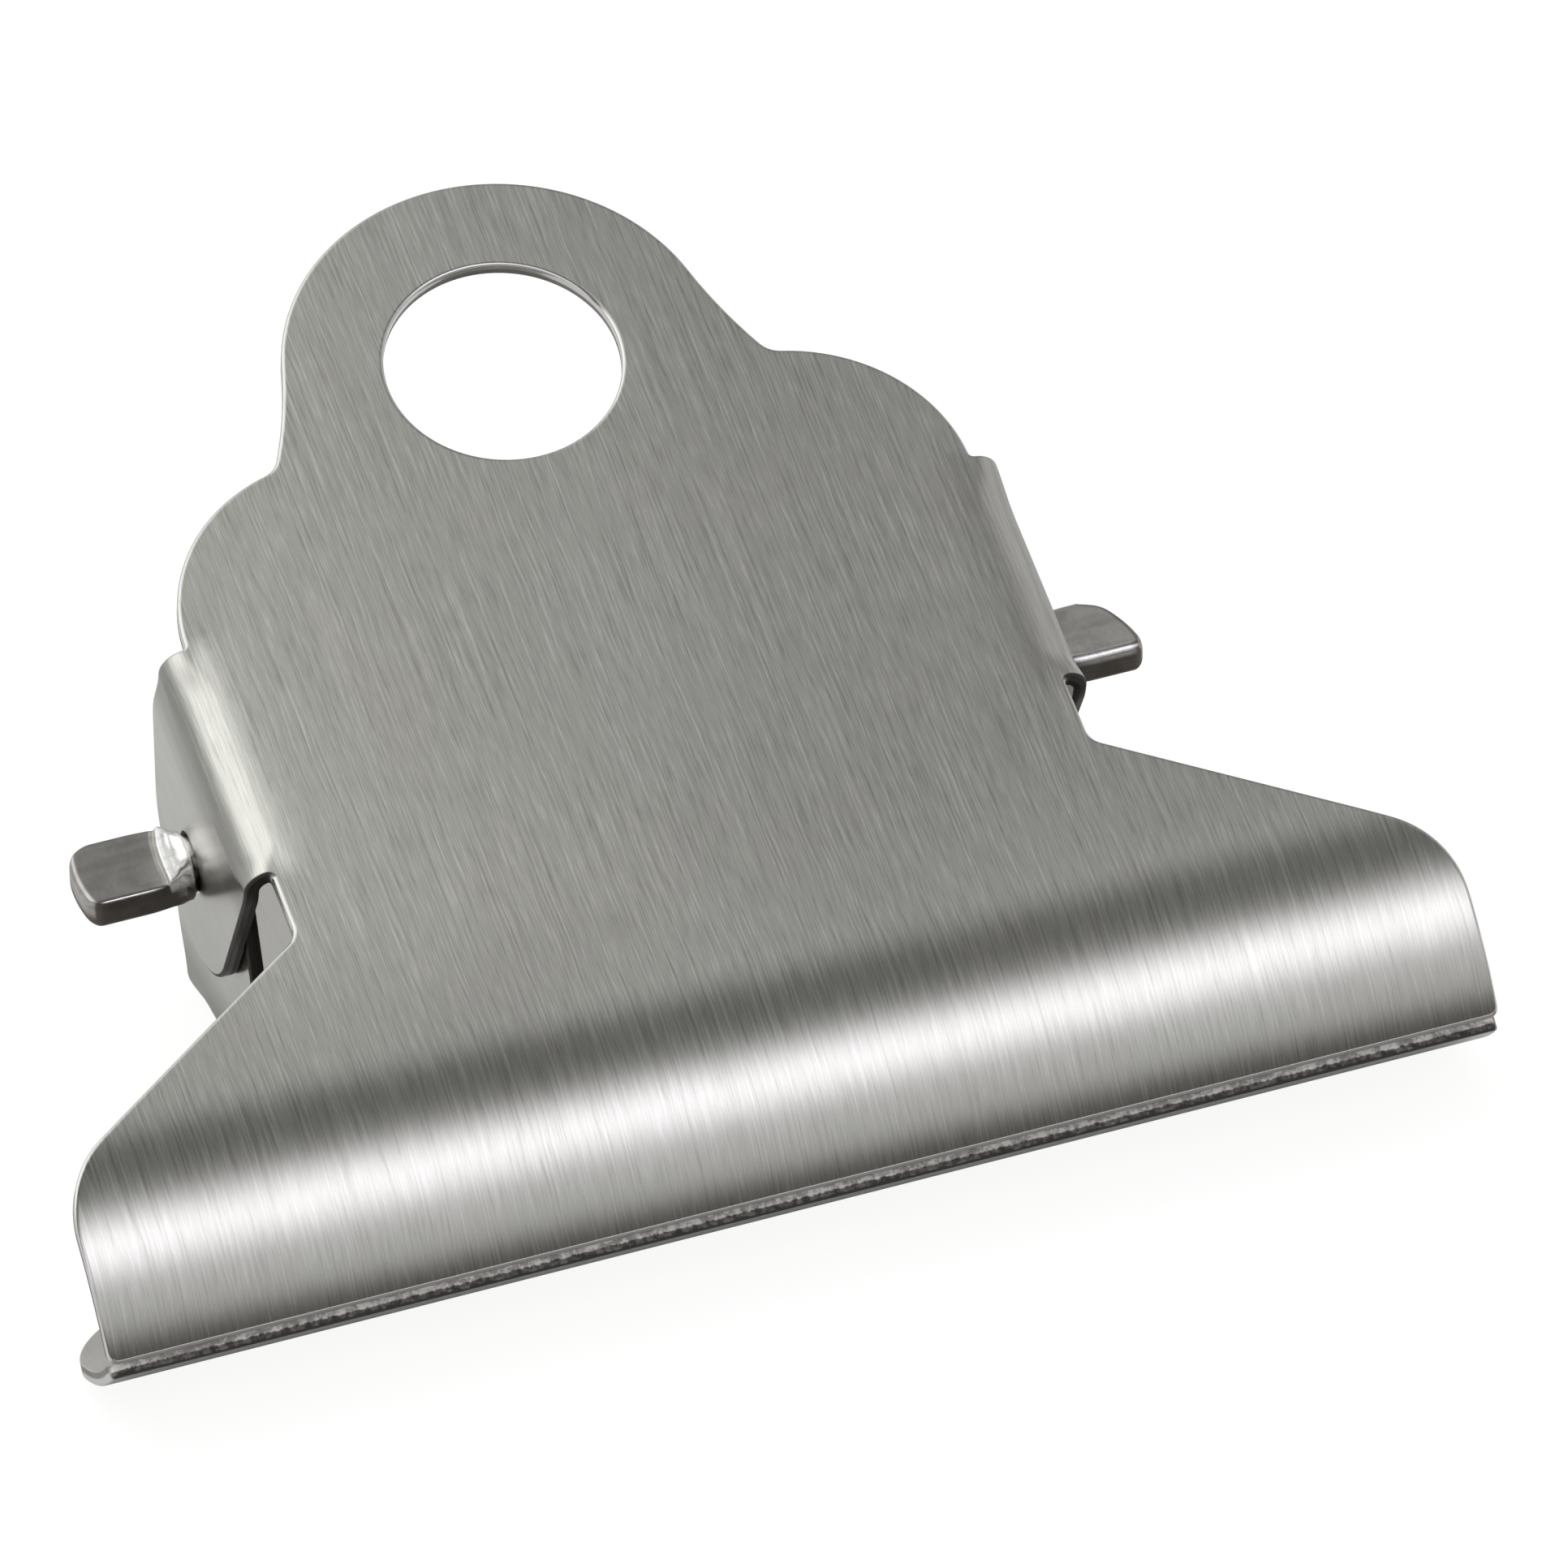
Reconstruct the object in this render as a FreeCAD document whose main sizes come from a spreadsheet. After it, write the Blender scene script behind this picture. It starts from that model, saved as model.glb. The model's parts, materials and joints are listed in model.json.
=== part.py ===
import FreeCAD, Part
import math
import os
import Sketcher

# Spring clip with a wide curved jaw: two bent sheet-metal plates, each with a hanging hole and two ears,
# turn on one cross pin and are pushed apart at the handles by a torsion spring.
# Frame: X along the jaw, Y from the jaw to the handles, Z up. The clip rests on the lower plate's flat face.
#
# Each plate is drawn in a frame of its own: y runs from the jaw to the handle tip, z is the depth below its
# flat outer face, towards the inside of the clip. The lower plate stands in that frame as drawn, and the
# upper one is turned half a turn about the line that halves the V between them.

V = FreeCAD.Vector

SIZES = {
    "sheet_gauge": 0.8,
    "jaw_width": 76.0,
    "jaw_start": 5.0,
    "jaw_radius": 16.3,
    "jaw_angle": 46.0,
    "lip_gap": 0.04,
    "vee_angle": 22.0,
    "head_centre": 44.75,
    "head_radius": 11.7,
    "hole_radius": 6.3,
    "neck_side": 13.74,
    "neck_place": 41.43,
    "throat_radius": 30.0,
    "shoulder_radius": 9.8,
    "ear_back": 31.9,
    "ear_front": 17.0,
    "ear_radius": 6.2,
    "ear_heel_place": 32.6,
    "ear_heel_depth": 5.2,
    "bend_radius": 2.2,
    "ear_face_upper": 23.2,
    "ear_face_lower": 22.3,
    "shoulder_inset": 1.5,
    "notch_inset": 1.4,
    "notch_corner": 1.2,
    "wing_corner": 6.0,
    "wing_angle": 33.9,
    "wing_side": 21.75,
    "wing_place": 12.95,
    "pin_place": 25.4,
    "pin_depth": 10.1,
    "pin_radius": 1.5,
    "pin_clearance": 0.06,
    "pin_neck_end": 24.7,
    "tab_start": 23.9,
    "tab_end": 29.6,
    "tab_width": 4.4,
    "tab_thickness": 1.95,
    "tab_tip_radius": 4.2,
    "tab_back_corner": 1.5,
    "tab_front_corner": 0.7,
    "tab_opening_out": 0.6,
    "tab_edge_round": 0.5,
    "tab_turn": 12.0,
    "wire_radius": 0.95,
    "coil_radius": 3.6,
    "coil_pitch": 1.98,
    "full_turns": 7.0,
    "knee_place": 33.3,
    "toe_end": 37.4,
    "knee_radius": 3.0,
    "leg_rest_gap": 0.05,
}

doc = FreeCAD.newDocument("spring_clip")
sheet = doc.addObject("Spreadsheet::Sheet", "sizes")
for row, (alias, value) in enumerate(SIZES.items(), start=1):
    sheet.set("A%d" % row, alias)
    sheet.set("B%d" % row, str(value))
    sheet.setAlias("B%d" % row, alias)
doc.recompute()


def size(alias):
    """A driving dimension, read back from the sheet."""
    return float(sheet.get(alias))


def turned(y, z, degrees):
    """The point or direction (y, z), turned from y towards z."""
    a = math.radians(degrees)
    return y * math.cos(a) - z * math.sin(a), y * math.sin(a) + z * math.cos(a)


# ---------------------------------------------------------------- shared places

# A distance that is past every edge of the clip.
CLEAR = 60.0
GAUGE = size("sheet_gauge")
HALF_VEE = size("vee_angle") / 2
INNER_JAW = size("jaw_radius") - GAUGE
JAW_END = math.radians(size("jaw_angle"))
# The inner corner of the lip, where the two jaws meet.
LIP_Y = size("jaw_start") - INNER_JAW * math.sin(JAW_END)
LIP_Z = size("jaw_radius") - INNER_JAW * math.cos(JAW_END)
HEAD_TIP = size("head_centre") + size("head_radius")
# A point on the line that halves the V, from which the upper plate is turned.
VEE_POINT = V(0, LIP_Y, LIP_Z + size("lip_gap") / 2)
VEE_LINE = V(0, math.cos(math.radians(HALF_VEE)), math.sin(math.radians(HALF_VEE)))
UPPER_TURN = FreeCAD.Placement(V(0, 0, 0), FreeCAD.Rotation(VEE_LINE, 180), VEE_POINT)
# The pin is placed in the upper plate's frame, and found in the lower plate's.
PIN = UPPER_TURN.multVec(V(0, size("pin_place"), size("pin_depth")))

# The origin is on the rest face, in the middle of the clip's length.
FRONT = LIP_Y - GAUGE * math.sin(JAW_END)
UPPER_FRONT = UPPER_TURN.multVec(V(0, FRONT, size("jaw_radius") * (1 - math.cos(JAW_END)))).y
ORIGIN_SHIFT = V(0, -(min(FRONT, UPPER_FRONT) + HEAD_TIP) / 2, 0)
TO_ORIGIN = FreeCAD.Placement(ORIGIN_SHIFT, FreeCAD.Rotation())


# ---------------------------------------------------------------- sketch helpers

def plane_of(body, role):
    return [f for f in body.Origin.OriginFeatures if f.Role == role][0]


def new_sketch(body, name, role, offset=0.0):
    """A sketch on one of the body's origin planes, moved along the plane's normal by offset."""
    sketch = body.newObject("Sketcher::SketchObject", name)
    sketch.AttachmentSupport = [(plane_of(body, role), "")]
    sketch.MapMode = "FlatFace"
    sketch.AttachmentOffset = FreeCAD.Placement(V(0, 0, offset), FreeCAD.Rotation())
    return sketch


def add_line(sketch, start, end):
    return sketch.addGeometry(Part.LineSegment(V(*start, 0), V(*end, 0)), False)


def add_arc(sketch, start, end, centre):
    """The shorter arc about centre from start to end."""
    radius = math.dist(start, centre)
    first = math.atan2(start[1] - centre[1], start[0] - centre[0])
    last = math.atan2(end[1] - centre[1], end[0] - centre[0])
    if (last - first) % (2 * math.pi) > math.pi:
        first, last = last, first
    circle = Part.Circle(V(*centre, 0), V(0, 0, 1), radius)
    return sketch.addGeometry(Part.ArcOfCircle(circle, first, last), False)


def add_loop(sketch, steps):
    """A closed outline: each step is a start point and, for an arc, its centre. Ends are tied together."""
    edges = []
    for number, step in enumerate(steps):
        start = step[0]
        end = steps[(number + 1) % len(steps)][0]
        if len(step) == 2:
            edges.append(add_arc(sketch, start, end, step[1]))
        else:
            edges.append(add_line(sketch, start, end))
    return edges


def hold_radius(sketch, edge, expression):
    """Binds an arc's or a circle's radius to the sheet."""
    limit = Sketcher.Constraint("Radius", edge, sketch.Geometry[edge].Radius)
    number = sketch.addConstraint(limit)
    sketch.setExpression("Constraints[%d]" % number, expression)


def add_circle(sketch, centre, radius, expression):
    """A circle whose radius follows the sheet and whose centre is held."""
    edge = sketch.addGeometry(Part.Circle(V(*centre, 0), V(0, 0, 1), radius), False)
    hold_radius(sketch, edge, expression)
    return edge


def pad(body, name, sketch, length, midplane=False, reverse=False):
    feature = body.newObject("PartDesign::Pad", name)
    feature.Profile = sketch
    feature.setExpression("Length", length)
    feature.Midplane = midplane
    feature.Reversed = reverse
    return feature


def cut_both_ways(body, name, sketch, length):
    """A pocket that goes through everything on both sides of its sketch."""
    feature = body.newObject("PartDesign::Pocket", name)
    feature.Profile = sketch
    feature.setExpression("Length", length)
    feature.Midplane = True
    doc.recompute()
    before = feature.BaseFeature.Shape.Volume
    if not feature.Shape.Volume < before - 1:
        raise ValueError(name + " cut nothing")
    return feature


def mirror_left(body, name, features):
    """The features again on the left of the clip."""
    feature = body.newObject("PartDesign::Mirrored", name)
    feature.Originals = features
    feature.MirrorPlane = (plane_of(body, "YZ_Plane"), [""])
    body.Tip = feature
    doc.recompute()
    return feature


# ---------------------------------------------------------------- plates

def circle_between(first, second, radius, side):
    """Centre of the circle of that radius through two points, on the given side of the line between them."""
    middle = ((first[0] + second[0]) / 2, (first[1] + second[1]) / 2)
    half = math.dist(first, second) / 2
    across = ((second[1] - first[1]) / (2 * half), -(second[0] - first[0]) / (2 * half))
    rise = side * math.sqrt(radius ** 2 - half ** 2)
    return middle[0] + across[0] * rise, middle[1] + across[1] * rise


def touch_point(outside, centre, radius, side):
    """Where a line from an outside point touches a circle, on the given side."""
    away = math.dist(outside, centre)
    heading = math.atan2(outside[1] - centre[1], outside[0] - centre[0])
    angle = heading + side * math.acos(radius / away)
    return centre[0] + radius * math.cos(angle), centre[1] + radius * math.sin(angle)


def flare_arc(head, head_radius, neck, radius):
    """Centre of the arc that touches the head's round edge from outside and ends at the neck, and where it
    touches."""
    away = math.dist(head, neck)
    reach = head_radius + radius
    along = (reach ** 2 - radius ** 2 + away ** 2) / (2 * away)
    across = math.sqrt(reach ** 2 - along ** 2)
    unit = ((neck[0] - head[0]) / away, (neck[1] - head[1]) / away)
    centre = (head[0] + unit[0] * along - unit[1] * across, head[1] + unit[1] * along + unit[0] * across)
    part = head_radius / reach
    touch = (head[0] + (centre[0] - head[0]) * part, head[1] + (centre[1] - head[1]) * part)
    return centre, touch


def jaw_profile(sketch):
    """The plate's section along y: the flat, and the jaw curled towards the inside."""
    start = size("jaw_start")
    radius = size("jaw_radius")
    end = HEAD_TIP + 1
    centre = (start, radius)
    outer_lip = (start - radius * math.sin(JAW_END), radius * (1 - math.cos(JAW_END)))
    edges = add_loop(sketch, [
        ((end, 0),),
        ((start, 0), centre),
        (outer_lip,),
        ((LIP_Y, LIP_Z), centre),
        ((start, GAUGE),),
        ((end, GAUGE),),
    ])
    hold_radius(sketch, edges[1], "sizes.jaw_radius")
    hold_radius(sketch, edges[3], "sizes.jaw_radius - sizes.sheet_gauge")


def plan_outline(sketch, ear_face):
    """Everything right of the plate's outline in plan, from the head to the jaw's end."""
    bend_x = ear_face - size("bend_radius")
    shoulder_x = ear_face - size("shoulder_inset")
    notch_x = ear_face - size("notch_inset")
    wing = (size("wing_side"), size("wing_place"))
    head = (0, size("head_centre"))
    neck = (size("neck_side"), size("neck_place"))
    shoulder_end = (shoulder_x, size("ear_back"))
    shoulder_centre = circle_between(neck, shoulder_end, size("shoulder_radius"), 1)
    flare_centre, head_side = flare_arc(head, size("head_radius"), neck, size("throat_radius"))
    side_x = size("jaw_width") / 2
    slope = math.tan(math.radians(size("wing_angle")))
    turn = math.radians(90 - size("wing_angle"))
    # The wing's line meets the side and the notch at these places, before its corners are rounded.
    side_y = wing[1] - slope * (side_x - wing[0])
    notch_y = wing[1] - slope * (notch_x - wing[0])
    wing_x, wing_y = math.cos(math.radians(size("wing_angle"))), -math.sin(math.radians(size("wing_angle")))
    side_reach = size("wing_corner") * math.tan(turn / 2)
    side_centre = (side_x - size("wing_corner"), side_y - side_reach)
    side_start = (side_x - wing_x * side_reach, side_y - wing_y * side_reach)
    notch_reach = size("notch_corner") * math.tan(turn / 2)
    notch_centre = (notch_x + size("notch_corner"), notch_y + notch_reach)
    notch_end = (notch_x + wing_x * notch_reach, notch_y + wing_y * notch_reach)
    edges = add_loop(sketch, [
        ((0, HEAD_TIP), head),
        (head_side, flare_centre),
        (neck, shoulder_centre),
        (shoulder_end,),
        ((bend_x, size("ear_back")),),
        ((bend_x, size("ear_front")),),
        ((notch_x, size("ear_front")),),
        ((notch_x, notch_y + notch_reach), notch_centre),
        (notch_end,),
        (side_start, side_centre),
        ((side_x, side_y - side_reach),),
        ((side_x, -CLEAR),),
        ((CLEAR, -CLEAR),),
        ((CLEAR, 2 * CLEAR),),
        ((0, 2 * CLEAR),),
    ])
    hold_radius(sketch, edges[0], "sizes.head_radius")
    hold_radius(sketch, edges[1], "sizes.throat_radius")
    hold_radius(sketch, edges[2], "sizes.shoulder_radius")
    hold_radius(sketch, edges[7], "sizes.notch_corner")
    hold_radius(sketch, edges[9], "sizes.wing_corner")


def bend_section(sketch, ear_face):
    """The quarter-round bend between the plate's flat and an ear."""
    radius = size("bend_radius")
    edge_x = ear_face - radius
    inner = radius - GAUGE
    centre = (edge_x, radius)
    edges = add_loop(sketch, [
        ((edge_x, 0), centre),
        ((edge_x + radius, radius),),
        ((edge_x + inner, radius), centre),
        ((edge_x, GAUGE),),
    ])
    hold_radius(sketch, edges[0], "sizes.bend_radius")
    hold_radius(sketch, edges[2], "sizes.bend_radius - sizes.sheet_gauge")


def ear_outline(sketch, pin_y, pin_z):
    """An ear seen from the side: it narrows to a round end about the pin hole."""
    pin = (pin_y, pin_z)
    radius = size("ear_radius")
    top = size("bend_radius")
    front = (size("ear_front"), top)
    back = (size("ear_back"), top)
    heel = (size("ear_heel_place"), size("ear_heel_depth"))
    front_touch = touch_point(front, pin, radius, -1)
    heel_touch = touch_point(heel, pin, radius, 1)
    lowest = (pin_y, pin_z + radius)
    edges = add_loop(sketch, [
        (front,),
        (front_touch, pin),
        (lowest, pin),
        (heel_touch,),
        (heel,),
        (back,),
    ])
    hold_radius(sketch, edges[1], "sizes.ear_radius")
    add_circle(sketch, pin, size("pin_radius") + size("pin_clearance"), "sizes.pin_radius + sizes.pin_clearance")


def make_plate(label, ear_face, pin_y, pin_z):
    """One bent plate: jaw, handle with hanging hole, and two ears with pin holes."""
    body = doc.addObject("PartDesign::Body", label)
    body.Label = label

    section = new_sketch(body, label + "_section", "YZ_Plane")
    jaw_profile(section)
    strip = pad(body, label + "_strip", section, "sizes.jaw_width / 2")

    outline = new_sketch(body, label + "_outline", "XY_Plane")
    plan_outline(outline, ear_face)
    trim = cut_both_ways(body, label + "_trim", outline, "sizes.jaw_width")

    bend = new_sketch(body, label + "_bend", "XZ_Plane", -size("ear_front"))
    bend_section(bend, ear_face)
    fold = pad(body, label + "_fold", bend, "sizes.ear_back - sizes.ear_front", reverse=True)

    side = new_sketch(body, label + "_side", "YZ_Plane", ear_face - GAUGE)
    ear_outline(side, pin_y, pin_z)
    ear = pad(body, label + "_ear", side, "sizes.sheet_gauge")
    doc.recompute()

    mirror_left(body, label + "_left_half", [strip, trim, fold, ear])
    hanging = new_sketch(body, label + "_hanging", "XY_Plane")
    add_circle(hanging, (0, size("head_centre")), size("hole_radius"), "sizes.hole_radius")
    cut_both_ways(body, label + "_hanging_hole", hanging, "sizes.jaw_width")
    return body


lower_plate = make_plate("lower_plate", size("ear_face_lower"), PIN.y, PIN.z)
lower_plate.Placement = TO_ORIGIN
upper_plate = make_plate("upper_plate", size("ear_face_upper"), size("pin_place"), size("pin_depth"))
upper_plate.Placement = TO_ORIGIN.multiply(UPPER_TURN)


# ---------------------------------------------------------------- pin

def round_corners(body, name, before, x, y):
    """Rounds both tabs' upright corner edges at this distance from the middle and this place across."""
    upright = []
    for number, edge in enumerate(before.Shape.Edges, start=1):
        box = edge.BoundBox
        stands = box.ZLength > size("tab_thickness") - 0.01 and box.XLength < 0.01 and box.YLength < 0.01
        if stands and abs(abs(box.Center.x) - x) < 0.01 and abs(box.Center.y - y) < 0.01:
            upright.append("Edge%d" % number)
    corners = body.newObject("PartDesign::Fillet", name)
    corners.Base = (before, upright)
    corners.setExpression("Radius", "sizes.tab_" + name[:-1])
    body.Tip = corners
    doc.recompute()
    return corners


def make_pin():
    """A round wire pin whose ends are squeezed flat outside the ears, so that it can't slide out."""
    body = doc.addObject("PartDesign::Body", "pivot_pin")
    body.Label = "pivot_pin"
    rod = new_sketch(body, "rod_section", "YZ_Plane")
    add_circle(rod, (0, 0), size("pin_radius"), "sizes.pin_radius")
    shaft = pad(body, "rod", rod, "sizes.pin_neck_end * 2", midplane=True)

    start = size("tab_start")
    end = size("tab_end")
    half = size("tab_width") / 2
    tip = size("tab_tip_radius")
    opening_out = size("tab_opening_out")
    # The tab's end is a wide arc, and it starts narrow where the round rod opens out.
    corner_x = end - tip + math.sqrt(tip ** 2 - half ** 2)
    tab = new_sketch(body, "tab_outline", "XY_Plane")
    edges = add_loop(tab, [
        ((start, -size("pin_radius")),),
        ((start + opening_out, -half),),
        ((corner_x, -half), (end - tip, 0)),
        ((corner_x, half),),
        ((start + opening_out, half),),
        ((start, size("pin_radius")),),
    ])
    hold_radius(tab, edges[2], "sizes.tab_tip_radius")
    flat = pad(body, "tab", tab, "sizes.tab_thickness", midplane=True)
    doc.recompute()
    both_tabs = mirror_left(body, "left_tab", [flat])
    back_corners = round_corners(body, "back_corners", both_tabs, corner_x, half)
    all_corners = round_corners(body, "front_corners", back_corners, corner_x, -half)
    long_edges = []
    for number, edge in enumerate(all_corners.Shape.Edges, start=1):
        middle = edge.BoundBox.Center
        on_flat = edge.BoundBox.ZLength < 0.01 and abs(abs(middle.z) - size("tab_thickness") / 2) < 0.01
        if on_flat and abs(middle.x) > start + opening_out:
            long_edges.append("Edge%d" % number)
    rounding = body.newObject("PartDesign::Fillet", "tab_rounding")
    rounding.Base = (all_corners, long_edges)
    rounding.setExpression("Radius", "sizes.tab_edge_round")
    body.Tip = rounding
    doc.recompute()
    return body


pivot_pin = make_pin()
pin_place = FreeCAD.Placement(PIN, FreeCAD.Rotation(V(1, 0, 0), size("tab_turn")))
pivot_pin.Placement = TO_ORIGIN.multiply(pin_place)


# ---------------------------------------------------------------- spring

def leg_shape(pin_y, depth):
    """How steeply a leg leaves the coil towards a plate, and the lengths of its straight run and its toe."""
    coil = size("coil_radius")
    drop = depth - GAUGE - size("wire_radius") - size("leg_rest_gap")
    reach = size("knee_place") - pin_y
    away = math.hypot(drop, reach)
    angle = math.atan2(drop, reach) - math.asin(coil / away)
    run = math.sqrt(away ** 2 - coil ** 2)
    trim = size("knee_radius") * math.tan(angle / 2)
    return math.degrees(angle), run - trim, size("toe_end") - size("knee_place") - trim


def leg_path(sketch, start, heading, bend, run, toe):
    """A straight run from start, a bend and a straight toe. Bend is in degrees, positive towards +z."""
    step = turned(run, 0, heading)
    knee_start = (start[0] + step[0], start[1] + step[1])
    side = 1 if bend > 0 else -1
    to_centre = turned(0, side * size("knee_radius"), heading)
    centre = (knee_start[0] + to_centre[0], knee_start[1] + to_centre[1])
    out = turned(-to_centre[0], -to_centre[1], bend)
    knee_end = (centre[0] + out[0], centre[1] + out[1])
    last = turned(toe, 0, heading + bend)
    add_line(sketch, start, knee_start)
    add_arc(sketch, knee_start, knee_end, centre)
    add_line(sketch, knee_end, (knee_end[0] + last[0], knee_end[1] + last[1]))


def make_spring():
    """A close-wound torsion spring about the pin. One leg presses on each handle.

    In the body's own frame X is the coil's axis and the lower leg leaves the coil's bottom along +y.
    """
    body = doc.addObject("PartDesign::Body", "torsion_spring")
    body.Label = "torsion_spring"
    lower_angle, lower_run, lower_toe = leg_shape(PIN.y, PIN.z)
    upper_angle, upper_run, upper_toe = leg_shape(size("pin_place"), size("pin_depth"))
    opening = lower_angle + upper_angle + size("vee_angle")
    turns = size("full_turns") + (180 - opening) / 360
    coil = size("coil_radius")
    length = turns * size("coil_pitch")

    wire = new_sketch(body, "wire_section", "XZ_Plane")
    add_circle(wire, (-length / 2, -coil), size("wire_radius"), "sizes.wire_radius")
    winding = body.newObject("PartDesign::AdditiveHelix", "winding")
    winding.Profile = wire
    axis = [f for f in body.Origin.OriginFeatures if f.Role == "X_Axis"][0]
    winding.ReferenceAxis = (axis, [""])
    winding.Mode = "pitch-turns-angle"
    winding.setExpression("Pitch", "sizes.coil_pitch")
    winding.Turns = turns
    winding.LeftHanded = True
    doc.recompute()

    legs = (
        ("lower_leg", -length / 2, 0.0, lower_angle, lower_run, lower_toe),
        ("upper_leg", length / 2, opening, -upper_angle, upper_run, upper_toe),
    )
    for name, place, heading, bend, run, toe in legs:
        side = -1 if name == "lower_leg" else 1
        foot = turned(0, side * coil, heading)
        path = new_sketch(body, name + "_path", "YZ_Plane", place)
        leg_path(path, foot, heading, bend, run, toe)
        section = body.newObject("Sketcher::SketchObject", name + "_section")
        section.AttachmentSupport = [(plane_of(body, "XZ_Plane"), "")]
        section.MapMode = "FlatFace"
        # The section is turned about X to face along the leg, and stands at the leg's start.
        lean = FreeCAD.Rotation(V(1, 0, 0), heading)
        section.AttachmentOffset = FreeCAD.Placement(V(place, foot[1], -foot[0]), lean)
        add_circle(section, (0, 0), size("wire_radius"), "sizes.wire_radius")
        leg = body.newObject("PartDesign::AdditivePipe", name)
        leg.Profile = section
        leg.Spine = path
        doc.recompute()
    return body, lower_angle


torsion_spring, lower_leg_angle = make_spring()
spring_place = FreeCAD.Placement(PIN, FreeCAD.Rotation(V(1, 0, 0), -lower_leg_angle))
torsion_spring.Placement = TO_ORIGIN.multiply(spring_place)


# ---------------------------------------------------------------- writing the parts

doc.recompute()
for item in doc.Objects:
    if "Invalid" in item.State or "Error" in item.State:
        raise ValueError(item.Name + " failed")

os.makedirs("parts", exist_ok=True)
for body in (lower_plate, upper_plate, pivot_pin, torsion_spring):
    if body.Shape.isNull() or not body.Shape.isValid():
        raise ValueError(body.Label + " has no valid shape")
    box = body.Shape.BoundBox
    print(body.Label, "solids", len(body.Shape.Solids), "volume %.1f" % body.Shape.Volume,
          "x %.2f %.2f y %.2f %.2f z %.2f %.2f" % (box.XMin, box.XMax, box.YMin, box.YMax, box.ZMin, box.ZMax))
    body.Shape.exportStep("parts/" + body.Label + ".step")
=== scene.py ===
import json
import math

import bpy
import numpy as np
from mathutils import Matrix, Vector
from mathutils.geometry import delaunay_2d_cdt


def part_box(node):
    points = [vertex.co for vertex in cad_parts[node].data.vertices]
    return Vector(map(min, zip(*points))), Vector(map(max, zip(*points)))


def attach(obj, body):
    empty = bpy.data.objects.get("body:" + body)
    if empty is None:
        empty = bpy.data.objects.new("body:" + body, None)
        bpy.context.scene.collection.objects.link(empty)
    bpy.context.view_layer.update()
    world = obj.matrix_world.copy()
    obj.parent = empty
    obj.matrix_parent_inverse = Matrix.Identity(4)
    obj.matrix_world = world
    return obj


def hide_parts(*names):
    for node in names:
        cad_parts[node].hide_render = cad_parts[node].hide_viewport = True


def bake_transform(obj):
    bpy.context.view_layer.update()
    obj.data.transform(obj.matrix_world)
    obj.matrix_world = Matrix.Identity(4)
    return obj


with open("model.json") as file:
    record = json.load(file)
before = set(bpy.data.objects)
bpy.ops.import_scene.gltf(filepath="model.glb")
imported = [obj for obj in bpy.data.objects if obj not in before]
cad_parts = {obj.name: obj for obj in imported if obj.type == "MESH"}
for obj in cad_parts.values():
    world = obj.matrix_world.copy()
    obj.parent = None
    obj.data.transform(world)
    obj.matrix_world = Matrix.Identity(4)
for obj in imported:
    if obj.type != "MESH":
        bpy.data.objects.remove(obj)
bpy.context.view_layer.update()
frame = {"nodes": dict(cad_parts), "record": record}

# Spring clip of bent sheet steel. Lengths in this script are in mm, in the frame of the CAD model, and become
# metres when a mesh is written. A plate is drawn as its flat blank, (s, u): s across, u from the jaw to the
# handle's tip, both along the outer face. The blank is cut out, given its edge profile and then bent.

MM = 0.001

# Sizes of the sheet, as in the CAD model.
GAUGE = 0.8
HALF_WIDTH = 38.0
JAW_START = 5.0
JAW_RADIUS = 16.3
JAW_ANGLE = math.radians(46.0)
LIP_GAP = 0.04
HALF_VEE = math.radians(11.0)
HEAD_PLACE = 44.75
HEAD_RADIUS = 11.7
HOLE_RADIUS = 6.3
NECK = (13.74, 41.43)
FLARE_RADIUS = 30.0
SHOULDER_RADIUS = 9.8
EAR_BACK = 31.9
EAR_FRONT = 17.0
EAR_RADIUS = 6.2
HEEL = (32.6, 5.2)
BEND_RADIUS = 2.2
SHOULDER_INSET = 1.5
NOTCH_INSET = 1.4
NOTCH_CORNER = 1.2
WING_CORNER = 6.0
WING_SLOPE = math.radians(33.9)
WING_PLACE = (21.75, 12.95)
PIN_RADIUS = 1.5
PIN_HOLE_RADIUS = 1.56
PIN_TURN = math.radians(12.0)
BEND_LENGTH = BEND_RADIUS * math.pi / 2

# Places in the CAD frame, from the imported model.
HINGE = Vector(frame["record"]["behaviour"]["joints"][0]["pos_m"]) / MM
EAR_FACE = {"lower_plate": 22.3, "upper_plate": 23.2}
TIP_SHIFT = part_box("lower_plate")[1].y / MM - (HEAD_PLACE + HEAD_RADIUS)
LIP = Vector((
    0,
    JAW_START - (JAW_RADIUS - GAUGE) * math.sin(JAW_ANGLE),
    JAW_RADIUS - (JAW_RADIUS - GAUGE) * math.cos(JAW_ANGLE) + LIP_GAP / 2,
))
STAND = Matrix.Translation((0, TIP_SHIFT, 0))
HALF_TURN = (
    Matrix.Translation(LIP)
    @ Matrix.Rotation(math.pi, 4, Vector((0, math.cos(HALF_VEE), math.sin(HALF_VEE))))
    @ Matrix.Translation(-LIP)
)
PLACE = {"lower_plate": STAND, "upper_plate": STAND @ HALF_TURN}


# ------------------------------------------------------------------ outline of the blank

def fade(t):
    t = np.clip(t, 0.0, 1.0)
    return t * t * (3 - 2 * t)


def line(start, end):
    """Points along a straight run, close together."""
    count = max(2, int(math.dist(start, end) / 0.05))
    t = np.linspace(0, 1, count + 1)[:, None]
    return np.array(start) * (1 - t) + np.array(end) * t


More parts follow.
